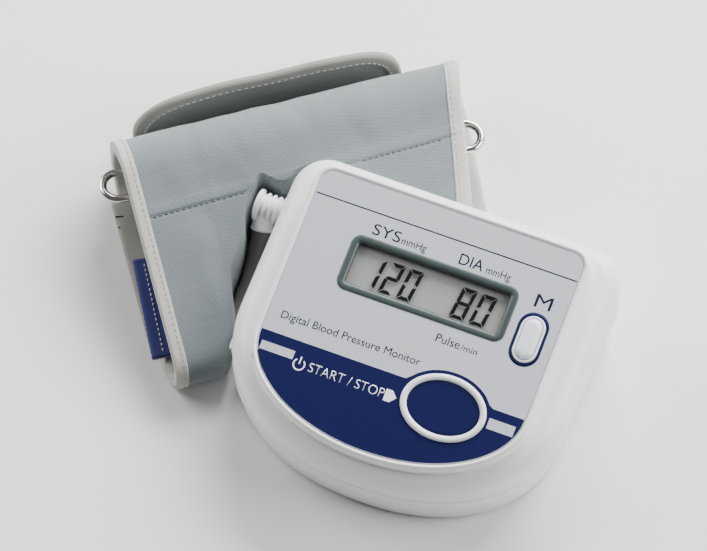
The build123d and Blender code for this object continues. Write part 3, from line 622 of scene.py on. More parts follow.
def panel_ring(outline, n):
    return [at_panel(u, w, n) for u, w in outline]


def flat_print(name, shapes, material, height=PRINT, base=LABEL_TOP):
    """Thin printed areas on the label; each shape is a list of (u, w) points."""
    vertices, faces = [], []
    for shape in shapes:
        start = len(vertices)
        count = len(shape)
        vertices += [at_panel(u, w, base) for u, w in shape]
        vertices += [at_panel(u, w, base + height) for u, w in shape]
        faces.append(tuple(range(start, start + count)))
        faces.append(tuple(range(start + count, start + 2 * count)))
        for i in range(count):
            j = (i + 1) % count
            faces.append((start + i, start + j, start + count + j, start + count + i))
    return mesh_piece(name, vertices, faces, material, "desk_unit", smooth=False)


START_CENTRE = (0.0222, -0.0716)
START_RADII = (0.0137, 0.0099)
MEMORY_CENTRE = (0.0427, -0.0366)
MEMORY_SIZE = (0.0070, 0.0160)
BEZEL_CENTRE = (0.0006, -0.0307)
BEZEL_SIZE = (0.0662, 0.0222)


def make_bezel():
    profile = (
        (0.0, -0.0006), (0.0, 0.0000), (-0.0003, 0.0002), (-0.0022, 0.0002), (-0.0031, -0.0004),
        (-0.0032, -0.0010),
    )
    rings = [panel_ring(round_box_outline(BEZEL_CENTRE, BEZEL_SIZE, 0.0040, grow), n) for grow, n in profile]
    piece = ring_piece("display_bezel", rings, BEZEL, "desk_unit", closed_profile=True)
    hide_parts("lcd_bezel")


def make_start_ring():
    profile = (
        (0.0027, -0.0006), (0.0027, 0.0001), (0.0024, 0.0005), (0.0018, 0.00075), (0.0010, 0.0007),
        (0.0005, 0.0004), (0.0002, -0.0001), (0.00015, -0.0006),
    )
    rings = [panel_ring(ellipse_outline(START_CENTRE, START_RADII, grow), n) for grow, n in profile]
    piece = ring_piece("start_key_ring", rings, GLOSS_WHITE, "desk_unit", closed_profile=True)
    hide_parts("start_ring")


def make_memory_ring():
    profile = (
        (0.0012, -0.0006), (0.0012, 0.0000), (0.0010, 0.0004), (0.0007, 0.0005), (0.0003, 0.0003),
        (0.00015, -0.0002), (0.00015, -0.0006),
    )
    rings = [panel_ring(pill_outline(MEMORY_CENTRE, MEMORY_SIZE, grow), n) for grow, n in profile]
    piece = ring_piece("memory_key_ring", rings, GLOSS_WHITE, "desk_unit", closed_profile=True)
    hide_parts("memory_ring")


def make_start_key():
    """Oval key with a rounded rim and a shallow dish for the finger."""
    flange = 0.0014
    foot = -0.0047
    ledge = -0.0027
    profile = [
        (flange, foot), (flange, ledge), (0.0, ledge), (0.0, -0.0006), (-0.00012, -0.0002),
        (-0.0005, 0.0), (-0.0010, -0.0001),
    ]
    rings = [panel_ring(ellipse_outline(START_CENTRE, START_RADII, grow), n) for grow, n in profile]
    for step in range(1, 24):
        f = 1 - step / 24
        radii = ((START_RADII[0] - 0.0010) * f, (START_RADII[1] - 0.0010) * f)
        dish = -0.0001 - 0.0014 * (1 - f * f)
        rings.append(panel_ring(ellipse_outline(START_CENTRE, radii), dish))
    piece = ring_piece("start_key", rings, KEY_BLUE, "start_button", cap_first=True, cap_last=True)
    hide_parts("start_button")


def make_memory_key():
    """Pill-shaped key with a domed top."""
    profile = [(0.0012, -0.0047), (0.0012, -0.0027), (0.0, -0.0027), (0.0, 0.0002)]
    for i in range(1, 9):
        angle = pi / 2 * i / 9
        profile.append((-0.0033 * (1 - cos(angle)), 0.0002 + 0.0014 * sin(angle)))
    rings = [panel_ring(pill_outline(MEMORY_CENTRE, MEMORY_SIZE, grow), n) for grow, n in profile]
    piece = ring_piece("memory_key", rings, KEY_WHITE, "memory_button", cap_first=True, cap_last=True)
    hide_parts("memory_button")


# --- desk unit: print -----------------------------------------------------------------------------
BLUE_TOP = -0.0657


def label_half_width(w, inset=0.0):
    """Half width of the label at w up its slope."""
    depth = LABEL_FRONT_DEPTH - inset
    drop = min(1.0, max(0.0, (LABEL_SIDE - w) / depth))
    return (LABEL_HALF - inset) * sqrt(1 - drop * drop)


def blue_area():
    """The blue field: straight top edge that swells round the start key."""
    inset = 0.0002
    halo = (0.0180, 0.0140)
    points = []
    steps = 60
    for i in range(steps + 1):
        u = -label_half_width(BLUE_TOP, inset) + 2 * label_half_width(BLUE_TOP, inset) * i / steps
        reach = 1 - ((u - START_CENTRE[0]) / halo[0]) ** 2
        w = BLUE_TOP
        if reach > 0:
            w = max(w, START_CENTRE[1] + halo[1] * sqrt(reach))
        points.append((u, w))
    steps = 80
    for i in range(steps + 1):
        angle = pi * i / steps
        w = LABEL_SIDE - (LABEL_FRONT_DEPTH - inset) * sin(angle)
        u = (LABEL_HALF - inset) * cos(angle)
        points.append((u, w))
    return points


def stripe(u0, u1, w0, w1):
    return [(u0, w0), (u1, w0), (u1, w1), (u0, w1)]


def power_mark(centre, radius, width):
    """Broken circle with a bar: the common standby sign."""
    shapes = []
    gap = radians(38)
    count = 28
    outer, inner = [], []
    for i in range(count + 1):
        angle = pi / 2 + gap + (2 * pi - 2 * gap) * i / count
        outer.append((centre[0] + radius * cos(angle), centre[1] + radius * sin(angle)))
        inner.append((centre[0] + (radius - width) * cos(angle), centre[1] + (radius - width) * sin(angle)))
    for i in range(count):
        shapes.append([outer[i], outer[i + 1], inner[i + 1], inner[i]])
    half = width / 2
    x, y = centre
    shapes.append(stripe(x - half, x + half, y + 0.1 * radius, y + 1.25 * radius))
    return shapes


def arrow_mark(x, y, size):
    half = size / 2
    neck = x + 0.1 * half
    return [[(x - half, y - half), (neck, y - half), (x + half, y), (neck, y + half), (x - half, y + half)]]


SEGMENTS = {"0": "abcdef", "1": "bc", "2": "abged", "8": "abcdefg"}


def digit(char, u, w, width, height, thick, slant):
    """Seven-segment digit; (u, w) is its lower left corner."""
    gap = thick * 0.16
    half = height / 2
    bars = {
        "a": ((0, height), (width, height), (0, -1)),
        "g": ((0, half), (width, half), (0, 0)),
        "d": ((0, 0), (width, 0), (0, 1)),
        "f": ((0, half), (0, height), (1, 0)),
        "b": ((width, half), (width, height), (-1, 0)),
        "e": ((0, 0), (0, half), (1, 0)),
        "c": ((width, 0), (width, half), (-1, 0)),
    }
    shapes = []
    for key in SEGMENTS[char]:
        (x0, y0), (x1, y1), (ix, iy) = bars[key]
        if y0 == y1:
            if iy == 0:
                h = thick / 2
                left, right = gap + h, width - gap - h
                pts = [
                    (left, y0 + h), (right, y0 + h), (width - gap, y0), (right, y0 - h), (left, y0 - h),
                    (gap, y0),
                ]
            else:
                inner = y0 + iy * thick
                pts = [(gap, y0), (width - gap, y0), (width - gap - thick, inner), (gap + thick, inner)]
        else:
            inner = x0 + ix * thick
            top_mid = y1 == half
            low_mid = y0 == half
            lower = y0 + gap if low_mid or y0 == 0 else y0
            upper = y1 - gap
            lower_in = lower + (thick / 2 if low_mid else thick)
            upper_in = upper - (thick / 2 if top_mid else thick)
            pts = [(x0, lower), (x0, upper), (inner, upper_in), (inner, lower_in)]
        shapes.append([(u + x + slant * y, w + y) for x, y in pts])
    return shapes


CAPITAL_SHARE = 0.70    # a capital's height as a share of the type size


def lettering(name, rows, material, swelling=0.0):
    """Printed words: each row is (text, left, right, baseline, capital height)."""
    parts = []
    for text, left, right, baseline, height in rows:
        curve = bpy.data.curves.new(name, "FONT")
        curve.body = text
        curve.size = 1.0
        curve.offset = swelling
        curve.resolution_u = 6
        carrier = bpy.data.objects.new(name, curve)
        mesh = bpy.data.meshes.new_from_object(carrier)
        xs = [v.co.x for v in mesh.vertices]
        wide = (right - left) / (max(xs) - min(xs))
        tall = height / CAPITAL_SHARE
        for v in mesh.vertices:
            v.co.x = (v.co.x - min(xs)) * wide
            v.co.y *= tall
        s, c = sin(PANEL_TILT), cos(PANEL_TILT)
        origin = at_panel(left, baseline, LABEL_TOP + PRINT * 1.5)
        place = Matrix(((1, 0, 0, origin.x), (0, c, -s, origin.y), (0, s, c, origin.z), (0, 0, 0, 1)))
        mesh.transform(place)
        parts.append(mesh)
        bpy.data.objects.remove(carrier)
    shape = bmesh.new()
    for mesh in parts:
        shape.from_mesh(mesh)
    faces = list(shape.faces)
    normal = at_panel(0, 0, 0) - at_panel(0, 0, 1)
    made = bmesh.ops.extrude_face_region(shape, geom=faces)
    moved = [g for g in made["geom"] if isinstance(g, bmesh.types.BMVert)]
    bmesh.ops.translate(shape, verts=moved, vec=normal * PRINT)
    bmesh.ops.recalc_face_normals(shape, faces=shape.faces)
    mesh = bpy.data.meshes.new(name)
    shape.to_mesh(mesh)
    shape.free()
    mesh.materials.clear()
    mesh.materials.append(material)
    piece = bpy.data.objects.new(name, mesh)
    collection.objects.link(piece)
    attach(piece, "desk_unit")


def make_print():
    prints = [
        flat_print("print_blue_field", [blue_area()], BLUE_INK),
        flat_print("print_stripes", stripes(), PALE_INK, PRINT * 2),
        flat_print("print_line", [stripe(-0.0517, 0.0517, -0.0101, -0.0096)], DARK_INK),
        flat_print("print_power_mark", power_mark((-0.0338, -0.0741), 0.0024, 0.00055), WHITE_INK, PRINT * 2),
        flat_print("print_arrow", arrow_mark(0.0024, -0.0740, 0.0046), WHITE_INK, PRINT * 2),
    ]
    outer = pill_outline(MEMORY_CENTRE, (0.0118, 0.0213))
    inner = pill_outline(MEMORY_CENTRE, (0.0096, 0.0183))
    top = LABEL_TOP + PRINT
    rings = [
        panel_ring(outer, LABEL_TOP), panel_ring(outer, top),
        panel_ring(inner, top), panel_ring(inner, LABEL_TOP),
    ]
    prints.append(ring_piece("print_memory_outline", rings, BLUE_INK, "desk_unit", closed_profile=True))


def stripes():
    left = stripe(-0.0500, -0.0368, -0.0732, -0.0699)
    right_end = label_half_width(-0.0734, 0.0006)
    return [left, stripe(0.0396, right_end, -0.0734, -0.0693)]


def make_digits():
    slant = 0.12
    shapes = []
    height = 0.0125
    w = -0.0379
    for i, char in enumerate("120"):
        shapes += digit(char, -0.0240 + 0.0072 * i, w, 0.0054, height, 0.0014, slant)
    for i, char in enumerate("80"):
        shapes += digit(char, 0.0113 + 0.0078 * i, w, 0.0058, height, 0.0014, slant)
    piece = flat_print("display_digits", shapes, BLACK_INK, 0.00008, -0.00175)


def make_words():
    lettering("print_words_dark", [
        ("SYS", -0.0265, -0.0156, -0.0181, 0.0043),
        ("mmHg", -0.0148, -0.0052, -0.0181, 0.0029),
        ("DIA", 0.0078, 0.0172, -0.0181, 0.0043),
        ("mmHg", 0.0186, 0.0282, -0.0181, 0.0029),
        ("Pulse", 0.0103, 0.0196, -0.0488, 0.0033),
        ("/min", 0.0201, 0.0266, -0.0488, 0.0024),
        ("Digital Blood Pressure Monitor", -0.0468, 0.0082, -0.0596, 0.0030),
        ("M", 0.0398, 0.0462, -0.0240, 0.0052),
    ], DARK_INK)
    lettering("print_words_white", [("START / STOP", -0.0299, -0.0002, -0.0756, 0.0037)], WHITE_INK, -0.010)


# --- cuff ---------------------------------------------------------------------------------
# The cuff has its own frame: s across its width, t away from the desk unit's front, z up.
CUFF_CORNER = (-0.073, -0.0922, 0.0003)
CUFF_YAW = radians(37.0)
SHELL = 0.0044
FABRIC = 0.0012
NEAR_EDGE = 0.0119
FAR_T = 0.0946
FAR_RADIUS = 0.018
TOP_START = 0.01084
TOP_SLOPE = 0.2726
TOP_END = FAR_T - FAR_RADIUS * sin(2 * radians(7.625))
BINDING = 0.0052
SEAM_ALLOWANCE = 0.0045


def cuff_plan(s, t):
    c, n = cos(CUFF_YAW), sin(CUFF_YAW)
    return CUFF_CORNER[0] + s * c - t * n, CUFF_CORNER[1] + s * n + t * c


def at_cuff(s, t, z):
    x, y = cuff_plan(s, t)
    return at_unit(x, y, z + CUFF_CORNER[2])


def blocked(x, y):
    """True where the desk unit, its plug or the hose stands, with a little room."""
    room = 0.0010
    if -0.0752 < x < 0 and -0.0380 < y < -0.014:
        return True
    if -0.0784 < x < 0 and -0.016 < y < 0.0005:
        return True
    half = BODY_HALF + room
    if abs(x) >= half or y >= BODY_REAR + room:
        return False
    if y >= BODY_SIDE_END:
        corner = BODY_CORNER
        dx, dy = abs(x) - (half - corner), y - (BODY_REAR + room - corner)
        return not (dx > 0 and dy > 0 and hypot(dx, dy) > corner)
    reach = (BODY_SIDE_END - y) / (BODY_FRONT_DEPTH + room)
    if reach >= 1:
        return False
    return abs(x) < half * (1 - reach ** BODY_FRONT_POWER) ** (1 / BODY_FRONT_POWER)


def top_edges(t):
    """Where the upper run's left and right edges are."""
    return 0.0012, min(0.1365 + 0.1756 * (t - 0.107), 0.1372)


def low_edges(t):
    """Where the lower run's edges are: it lies a little askew under the upper run."""
    return -0.0006, min(0.1346 + 0.106 * (t - 0.0567), 0.1386)


def across(edges, u):
    return edges[0] + u * (edges[1] - edges[0])


ACROSS_STEPS = 110
BOTTOM_STEPS = 26
FAR_STEPS = 22
PLAIN_STEPS = 16
SEAM_STEPS = (
    0.0055, 0.0048, 0.0042, 0.0030, 0.0016, 0.0009, 0.0005, 0.0002, -0.0001, -0.0004, -0.0009, -0.0016,
)
BEZIER_ROUND = 0.5523   # the handle length that turns a cubic into a quarter circle
FRONT_STEPS = 44
FOLD_STEPS = 16


def seam_line(s):
    return 0.0723 + 0.0275 * (s - 0.0064)


def near_edge_table():
    """Where the near fold lies: pushed back wherever the desk unit or hose stands."""
    table = []
    for i in range(ACROSS_STEPS + 1):
        u = i / ACROSS_STEPS
        t = 0.100
        while t > NEAR_EDGE:
            top = cuff_plan(across(top_edges(t), u), t)
            low = cuff_plan(across(low_edges(t), u), t)
            if blocked(*top) or blocked(*low):
                break
            t -= 0.0004
        table.append(max(t, NEAR_EDGE))
    soft = []
    for i in range(len(table)):
        near = table[max(0, i - 2):i + 3]
        soft.append(max(sum(near) / len(near), table[i]))
    return soft


NEAR_TABLE = near_edge_table()


def smooth(x):
    x = min(1.0, max(0.0, x))
    return x * x * (3 - 2 * x)


def swell(s, t, near):
    """How far the filled cuff stands out from its flat form, with creases."""
    across_part = smooth((s - 0.006) / 0.022) * smooth((0.130 - s) / 0.022)
    flat = 1 - 0.9 * smooth((near - NEAR_EDGE) / 0.02)
    front = flat * smooth((t - near - 0.002) / 0.020) * smooth((seam_line(s) - 0.0005 - t) / 0.014)
    back = smooth((t - seam_line(s) - SEAM_ALLOWANCE) / 0.010)
    out = across_part * (0.0013 * front + 0.0005 * back)
    place = Vector((s * 38, t * 22, 0.7))
    out += 0.00055 * across_part * noise.fractal(place, 0.6, 2.1, 3)
    ripple = noise.noise(Vector((s * 120 + t * 40, t * 26, 3.1)))
    out += 0.00022 * across_part * ripple * smooth((t - near) / 0.02)
    e = t - seam_line(s)
    side = smooth((s - 0.004) / 0.004) * smooth((0.131 - s) / 0.004)
    groove = -0.00024 * 2.718 ** (-((e / 0.00055) ** 2))
    band = 0.00020 * smooth((e - 0.0003) / 0.0007) * smooth((SEAM_ALLOWANCE - e) / 0.0006)
    return out + side * (groove + band)


def outline(u, near):
    """The loop's outer line at one place across, as (s, t, z) points."""
    points = []
    fold = 0.0085 - 0.0060 * smooth((near - NEAR_EDGE) / 0.010)
    start = near + fold
    for i in range(BOTTOM_STEPS):
        t = start + (FAR_T - start) * i / BOTTOM_STEPS
        points.append((across(low_edges(t), u), t, 0.0))
    turn = pi + 2 * radians(7.625)
    for i in range(FAR_STEPS):
        f = i / FAR_STEPS
        angle = -pi / 2 + turn * f
        t = FAR_T + FAR_RADIUS * cos(angle)
        z = FAR_RADIUS + FAR_RADIUS * sin(angle)
        s = across(low_edges(t), u) * (1 - smooth(f)) + across(top_edges(t), u) * smooth(f)
        points.append((s, t, z))
    line = seam_line(across(top_edges(0.075), u))
    high = min(max(line + SEAM_STEPS[0], start + 0.0012), TOP_END - 0.0004)
    span = SEAM_STEPS[0] - SEAM_STEPS[-1]
    low = min(max(line + SEAM_STEPS[-1], start + 0.0005), high - 0.0004)
    ts = [TOP_END + (high - TOP_END) * i / PLAIN_STEPS for i in range(PLAIN_STEPS)]
    ts += [low + (high - low) * (e - SEAM_STEPS[-1]) / span for e in SEAM_STEPS]
    ts += [low + (start - low) * (i + 1) / FRONT_STEPS for i in range(FRONT_STEPS - 1)]
    for t in ts:
        points.append((across(top_edges(t), u), t, TOP_START + TOP_SLOPE * t))
    top_z = TOP_START + TOP_SLOPE * start
    middle = top_z * 0.5
    pull = fold * BEZIER_ROUND
    above = middle + (top_z - middle) * BEZIER_ROUND
    below = middle * (1 - BEZIER_ROUND)
    curves = (
        ((start, top_z), (start - pull, top_z - pull * TOP_SLOPE), (near, above), (near, middle)),
        ((near, middle), (near, below), (start - pull, 0.0), (start, 0.0)),
    )
    half = FOLD_STEPS // 2
    for k, curve in enumerate(curves):
        for i in range(half):
            f = i / half
            w = ((1 - f) ** 3, 3 * f * (1 - f) ** 2, 3 * f * f * (1 - f), f ** 3)
            t = sum(a * p[0] for a, p in zip(w, curve))
            z = sum(a * p[1] for a, p in zip(w, curve))
            share = smooth((k + f) / 2)
            s = across(top_edges(t), u) * (1 - share) + across(low_edges(t), u) * share
            points.append((s, t, z))
    return points


class Loop:
    """The cuff's outer surface as a grid: rows across its width, columns round the loop."""

    def __init__(self):
        self.rows, self.normals, self.lengths = [], [], []
        for j in range(ACROSS_STEPS + 1):
            near = NEAR_TABLE[j]
            line = outline(j / ACROSS_STEPS, near)
            count = len(line)
            first_top = BOTTOM_STEPS + FAR_STEPS
            last_top = count - FOLD_STEPS
            normals, lengths = [], [0.0]
            for i in range(count):
                a, b = line[i - 1], line[(i + 1) % count]
                dt, dz = b[1] - a[1], b[2] - a[2]
                size = max(hypot(dt, dz), 1e-9)
                normals.append((dz / size, -dt / size))
                nxt = line[(i + 1) % count]
                lengths.append(lengths[-1] + hypot(nxt[1] - line[i][1], nxt[2] - line[i][2]))
            row = []
            for i, (s, t, z) in enumerate(line):
                nt, nz = normals[i]
                if i < BOTTOM_STEPS:
                    out = 0.0
                else:
                    fade = 1.0
                    if i < first_top:
                        fade = smooth((i - BOTTOM_STEPS) / FAR_STEPS)
                    if i >= last_top:
                        fade = smooth((count - i) / FOLD_STEPS)
                    out = swell(s, t, near) * fade
                row.append((s, t + nt * out, z + nz * out))
            self.rows.append(row)
            self.normals.append(normals)
            self.lengths.append(lengths)
        self.count = len(self.rows[0])

    def point(self, j, i, depth, slide=0.0):
        """Grid point j across, i round, below the surface by depth, moved along s."""
        s, t, z = self.rows[j][i]
        nt, nz = self.normals[j][i]
        return at_cuff(s + slide, t - nt * depth, max(z - nz * depth, 0.0))

    def edge_point(self, side, i, inward, depth):
        """A point near one side edge: inward from the edge, below the surface."""
        order = list(range(ACROSS_STEPS + 1))
        if side > 0:
            order.reverse()
        edge = self.rows[order[0]][i][0]
        if inward <= 0:
            s, t, z = self.rows[order[0]][i]
            nt, nz = self.normals[order[0]][i]
            return at_cuff(edge - inward, t - nt * depth, max(z - nz * depth, 0.0))
        for a, b in zip(order, order[1:]):
            reach = abs(self.rows[b][i][0] - edge)
            if reach >= inward:
                back = abs(self.rows[a][i][0] - edge)
                f = (inward - back) / (reach - back)
                s, t, z = (lerp(p, q, f) for p, q in zip(self.rows[a][i], self.rows[b][i]))
                nt, nz = (lerp(p, q, f) for p, q in zip(self.normals[a][i], self.normals[b][i]))
                return at_cuff(s, t - nt * depth, max(z - nz * depth, 0.0))


LOOP = Loop()


def layer(name, node, slot_name, material, outer, inner, margin=0.0003, rows=None, span=None):
    """One layer of the loop between two depths, closed at its side edges."""
    js = rows or list(range(ACROSS_STEPS + 1))
    cols = span or list(range(LOOP.count))
    closed = span is None
    vertices, uvs, faces = [], [], []
    for depth in (outer, inner):
        for j in js:
            slide = margin if j == js[0] else (-margin if j == js[-1] else 0.0)
            for i in cols:
                vertices.append(LOOP.point(j, i, depth, slide))
                uvs.append((LOOP.rows[j][i][0], LOOP.lengths[j][i]))
    wide, many = len(js), len(cols)
    offset = wide * many
    last = many if closed else many - 1
    for a in range(wide - 1):
        for b in range(last):
            c = (b + 1) % many
            quad = (a * many + b, a * many + c, (a + 1) * many + c, (a + 1) * many + b)
            faces.append(quad)
            faces.append(tuple(v + offset for v in reversed(quad)))
    for a, flip in ((0, 1), (wide - 1, 0)):
        for b in range(last):
            c = (b + 1) % many
            quad = (a * many + b, a * many + c, offset + a * many + c, offset + a * many + b)
            faces.append(quad if flip else tuple(reversed(quad)))
    if not closed:
        for b in (0, many - 1):
            for a in range(wide - 1):
                here, there = a * many + b, (a + 1) * many + b
                faces.append((here, there, offset + there, offset + here))
    piece = mesh_piece(name, vertices, faces, material, "cuff_set", uvs=uvs)
    if node:
        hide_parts(node)
    return piece


# One stitch: (share of its length, share of its radius, height above the cloth in radii).
STITCH = ((0.0, 0.45, -0.6), (0.12, 0.9, 0.1), (0.5, 1.0, 0.35), (0.88, 0.9, 0.1), (1.0, 0.45, -0.6))
STITCH_SIDES = 6


def stitches(name, path, normals, pitch, length, radius, material, sink=0.3):
    """A row of thread dashes along a line of points."""
    vertices, faces = [], []
    walk = [0.0]
    for a, b in zip(path, path[1:]):
        walk.append(walk[-1] + (b - a).length)

    def along(distance):
        for k in range(len(path) - 1):
            if walk[k + 1] >= distance:
                f = (distance - walk[k]) / max(walk[k + 1] - walk[k], 1e-9)
                return path[k].lerp(path[k + 1], f), normals[k].lerp(normals[k + 1], f)
        return path[-1], normals[-1]

    place = pitch * 0.5
    while place + length < walk[-1]:
        rings = []
        for f, scale, dip in STITCH:
            point, up = along(place + length * f)
            ahead, _ = along(min(place + length * f + 0.0002, walk[-1]))
            behind, _ = along(max(place + length * f - 0.0002, 0.0))
            run = (ahead - behind).normalized()
            up = up.normalized()
            side = run.cross(up).normalized()
            centre = point + up * radius * (dip - sink + 0.3)
            rings.append(circle(centre, side, up, radius * scale, STITCH_SIDES))
        base = len(vertices)
        for ring in rings:
            vertices += ring
        faces += [tuple(base + v for v in face) for face in ring_faces(rings)]
        for first in (base, base + (len(rings) - 1) * STITCH_SIDES):
            faces.append(tuple(range(first, first + STITCH_SIDES)))
        place += pitch
    mesh_piece(name, vertices, faces, material, "cuff_set")


BINDING_PROFILE = (
    (0.0052, -0.00005), (0.0051, -0.00036), (0.0047, -0.00048), (0.0039, -0.00040), (0.0028, -0.00050),
    (0.0012, -0.00052), (0.0003, -0.00042), (-0.0003, 0.0003), (-0.0006, 0.0013), (-0.0007, 0.0022),
    (-0.0006, 0.0032), (-0.0003, 0.0041), (0.0003, 0.0048), (0.0014, 0.0049), (0.0040, 0.0049),
    (0.0050, 0.0048), (0.0052, 0.00446), (0.0030, 0.00442), (0.0006, 0.0043), (0.0002, 0.0036),
    (0.0002, 0.0010), (0.0006, 0.0001), (0.0030, -0.00002),
)


def make_binding(name, node, side, material):
    """Folded tape round one side edge, following the loop."""
    rings, uvs = [], []
    for i in range(LOOP.count):
        rings.append([LOOP.edge_point(side, i, e, d) for e, d in BINDING_PROFILE])
        j = 0 if side < 0 else ACROSS_STEPS
        v = LOOP.lengths[j][i]
        run = 0.0
        for k, (e, d) in enumerate(BINDING_PROFILE):
            if k:
                run += hypot(e - BINDING_PROFILE[k - 1][0], d - BINDING_PROFILE[k - 1][1])
            uvs.append((v, run))
    vertices = [v for ring in rings for v in ring]
    faces = ring_faces(rings, closed_profile=True)
    piece = mesh_piece(name, vertices, faces, material, "cuff_set", uvs=uvs)
    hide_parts(node)
    return piece


def edge_line(side, inward, columns, depth):
    path = [LOOP.edge_point(side, i, inward, depth) for i in columns]
    inner = [LOOP.edge_point(side, i, inward, depth + 0.001) for i in columns]
    return path, [a - b for a, b in zip(path, inner)]


def surface_line(ss, ts, depth=0.0):
    """Points on the upper run above given places, found on the grid."""
    first = BOTTOM_STEPS + FAR_STEPS
    last = LOOP.count - FOLD_STEPS
    path, ups = [], []
    for s, t in zip(ss, ts):
        best, found = 1.0, None
        for j in range(ACROSS_STEPS + 1):
            row = LOOP.rows[j]
            if abs(row[first + 8][0] - s) > 0.006:
                continue
            for i in range(first, last):
                gap = (row[i][0] - s) ** 2 + (row[i][1] - t) ** 2
                if gap < best:
                    best, found = gap, (j, i)
        j, i = found
        nt, nz = LOOP.normals[j][i]
        z = LOOP.rows[j][i][2] + (t - LOOP.rows[j][i][1]) * TOP_SLOPE
        path.append(at_cuff(s, t, z))
        ups.append(at_cuff(s, t + nt * 0.001, z + nz * 0.001) - path[-1])
    return path, ups


def make_cuff_loop():
    outer = layer("cuff_outer_cloth", "cuff_outer_fabric", "nylon", NYLON, 0.0, FABRIC)
    inner = layer("cuff_lining_cloth", "cuff_inner_fabric", "lining", LINING, SHELL - FABRIC, SHELL)
    pad_rows = list(range(2, ACROSS_STEPS - 1))
    filling = (FABRIC + 0.0001, SHELL - FABRIC - 0.0001, 0.0)
    first = BOTTOM_STEPS + FAR_STEPS
    pad_span = list(range(first - 2))
    wad = layer("cuff_wadding", "cuff_padding", "wadding", WADDING, *filling, pad_rows, pad_span)
    air_rows = list(range(8, ACROSS_STEPS - 7))
    air_span = list(range(first, LOOP.count - FOLD_STEPS))
    air = layer("cuff_air_bladder", "air_bladder", "bladder", FILM, *filling, air_rows, air_span)
    for j in range(ACROSS_STEPS):
        for i in range(LOOP.count):
            k = (i + 1) % LOOP.count
    make_binding("cuff_edge_tape_left", "cuff_binding_left", -1, TAPE)
    make_binding("cuff_edge_tape_right", "cuff_binding_right", 1, TAPE)
    columns = list(range(BOTTOM_STEPS + 2, LOOP.count))
    for side, name in ((-1, "left"), (1, "right")):
        path, ups = edge_line(side, 0.0037, columns, -0.00042)
        stitches("edge_stitches_" + name, path, ups, 0.0024, 0.0014, 0.00020, PALE_THREAD)
    ss = [0.0066 + 0.1160 * k / 116 for k in range(117)]
    ts = [seam_line(s) for s in ss]
    runs, run = [], []
    for s, t in zip(ss, ts):
        u = (s - 0.0012) / 0.130
        near = NEAR_TABLE[min(ACROSS_STEPS, int(u * ACROSS_STEPS))]
        if near + 0.006 < t:
            run.append((s, t))
        elif run:
            runs.append(run)
            run = []
    if run:
        runs.append(run)
    for k, run in enumerate(r for r in runs if len(r) > 12):
        path, ups = surface_line([p[0] for p in run], [p[1] for p in run])
        stitches("seam_stitches_%d" % k, path, ups, 0.0023, 0.0015, 0.00024, SEAM_THREAD, 0.0)


# --- cuff: free end, ring sleeve and side tabs -----------------------------------------------
TAIL_START = 0.1070
TAIL_RISE = 0.1125
TAIL_RADIUS = 0.012
TAIL_THICK = 0.0024
TAIL_HEIGHT = 0.028
TAIL_LEFT = 0.012
TAIL_RIGHT = 0.119
TAIL_CORNER = 0.022
TAPE_STITCH = 0.0037    # the stitches' distance in from the tape's edge


def tail_section(distance):
    """Mid-thickness line of the free end: flat on the table, then curling up."""
    radius = TAIL_RADIUS - TAIL_THICK / 2
    flat = TAIL_RISE - TAIL_START
    if distance < flat:
        return TAIL_START + distance, TAIL_THICK / 2, 0.0
    bend = radius * pi / 2
    if distance < flat + bend:
        angle = (distance - flat) / radius
        return TAIL_RISE + radius * sin(angle), TAIL_THICK / 2 + radius * (1 - cos(angle)), angle
    rise = distance - flat - bend
    return TAIL_RISE + radius - 0.04 * rise, TAIL_THICK / 2 + radius + rise, pi / 2 + 0.04


def tail_limit(s, inset):
    """How far up the section the rounded end reaches at s."""
    left, right = TAIL_LEFT + inset, TAIL_RIGHT - inset
    corner = TAIL_CORNER - inset
    top = TAIL_HEIGHT - inset
    e = min(s - left, right - s)
    drop = corner - sqrt(max(0.0, corner ** 2 - (corner - e) ** 2)) if e < corner else 0.0
    radius = TAIL_RADIUS - TAIL_THICK / 2
    z = top - drop - 0.0008 * sin((s - left) / (right - left) * pi * 3.0) ** 2
    rise = z - TAIL_THICK / 2 - radius
    base = TAIL_RISE - TAIL_START + radius * pi / 2
    if rise >= 0:
        return base + rise
    angle = acos(min(1.0, max(-1.0, 1 - (z - TAIL_THICK / 2) / radius)))
    return TAIL_RISE - TAIL_START + radius * angle


def tail_point(s, distance, depth):
    t, z, angle = tail_section(distance)
    ripple = 0.0009 * noise.noise(Vector((s * 26, distance * 30, 9.0))) * smooth(distance / 0.02)
    offset = depth + ripple
    return at_cuff(s, t + offset * sin(angle), max(z - offset * cos(angle), 0.00005))


def make_tail():
    wide, tall = 80, 26
    half = TAIL_THICK / 2 - 0.0001
    vertices, uvs, faces = [], [], []
    for depth in (-half, half):
        for j in range(wide + 1):
            s = TAIL_LEFT + 0.0006 + (TAIL_RIGHT - TAIL_LEFT - 0.0012) * j / wide
            limit = tail_limit(s, 0.0006)
            for i in range(tall + 1):
                distance = limit * i / tall
                vertices.append(tail_point(s, distance, depth))
                uvs.append((s, distance))
    many = tall + 1
    offset = (wide + 1) * many
    for j in range(wide):
        for i in range(tall):
            quad = (j * many + i, j * many + i + 1, (j + 1) * many + i + 1, (j + 1) * many + i)
            faces.append(quad)
            faces.append(tuple(v + offset for v in reversed(quad)))
    rim = [(j, tall) for j in range(wide + 1)] + [(wide, i) for i in range(tall - 1, -1, -1)]
    rim += [(j, 0) for j in range(wide - 1, -1, -1)] + [(0, i) for i in range(1, tall)]
    for (a, b), (c, d) in zip(rim, rim[1:] + rim[:1]):
        faces.append((a * many + b, c * many + d, offset + c * many + d, offset + a * many + b))
    piece = mesh_piece("cuff_free_end", vertices, faces, LINING, "cuff_set", uvs=uvs)
    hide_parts("cuff_tail")
    make_tail_tape()


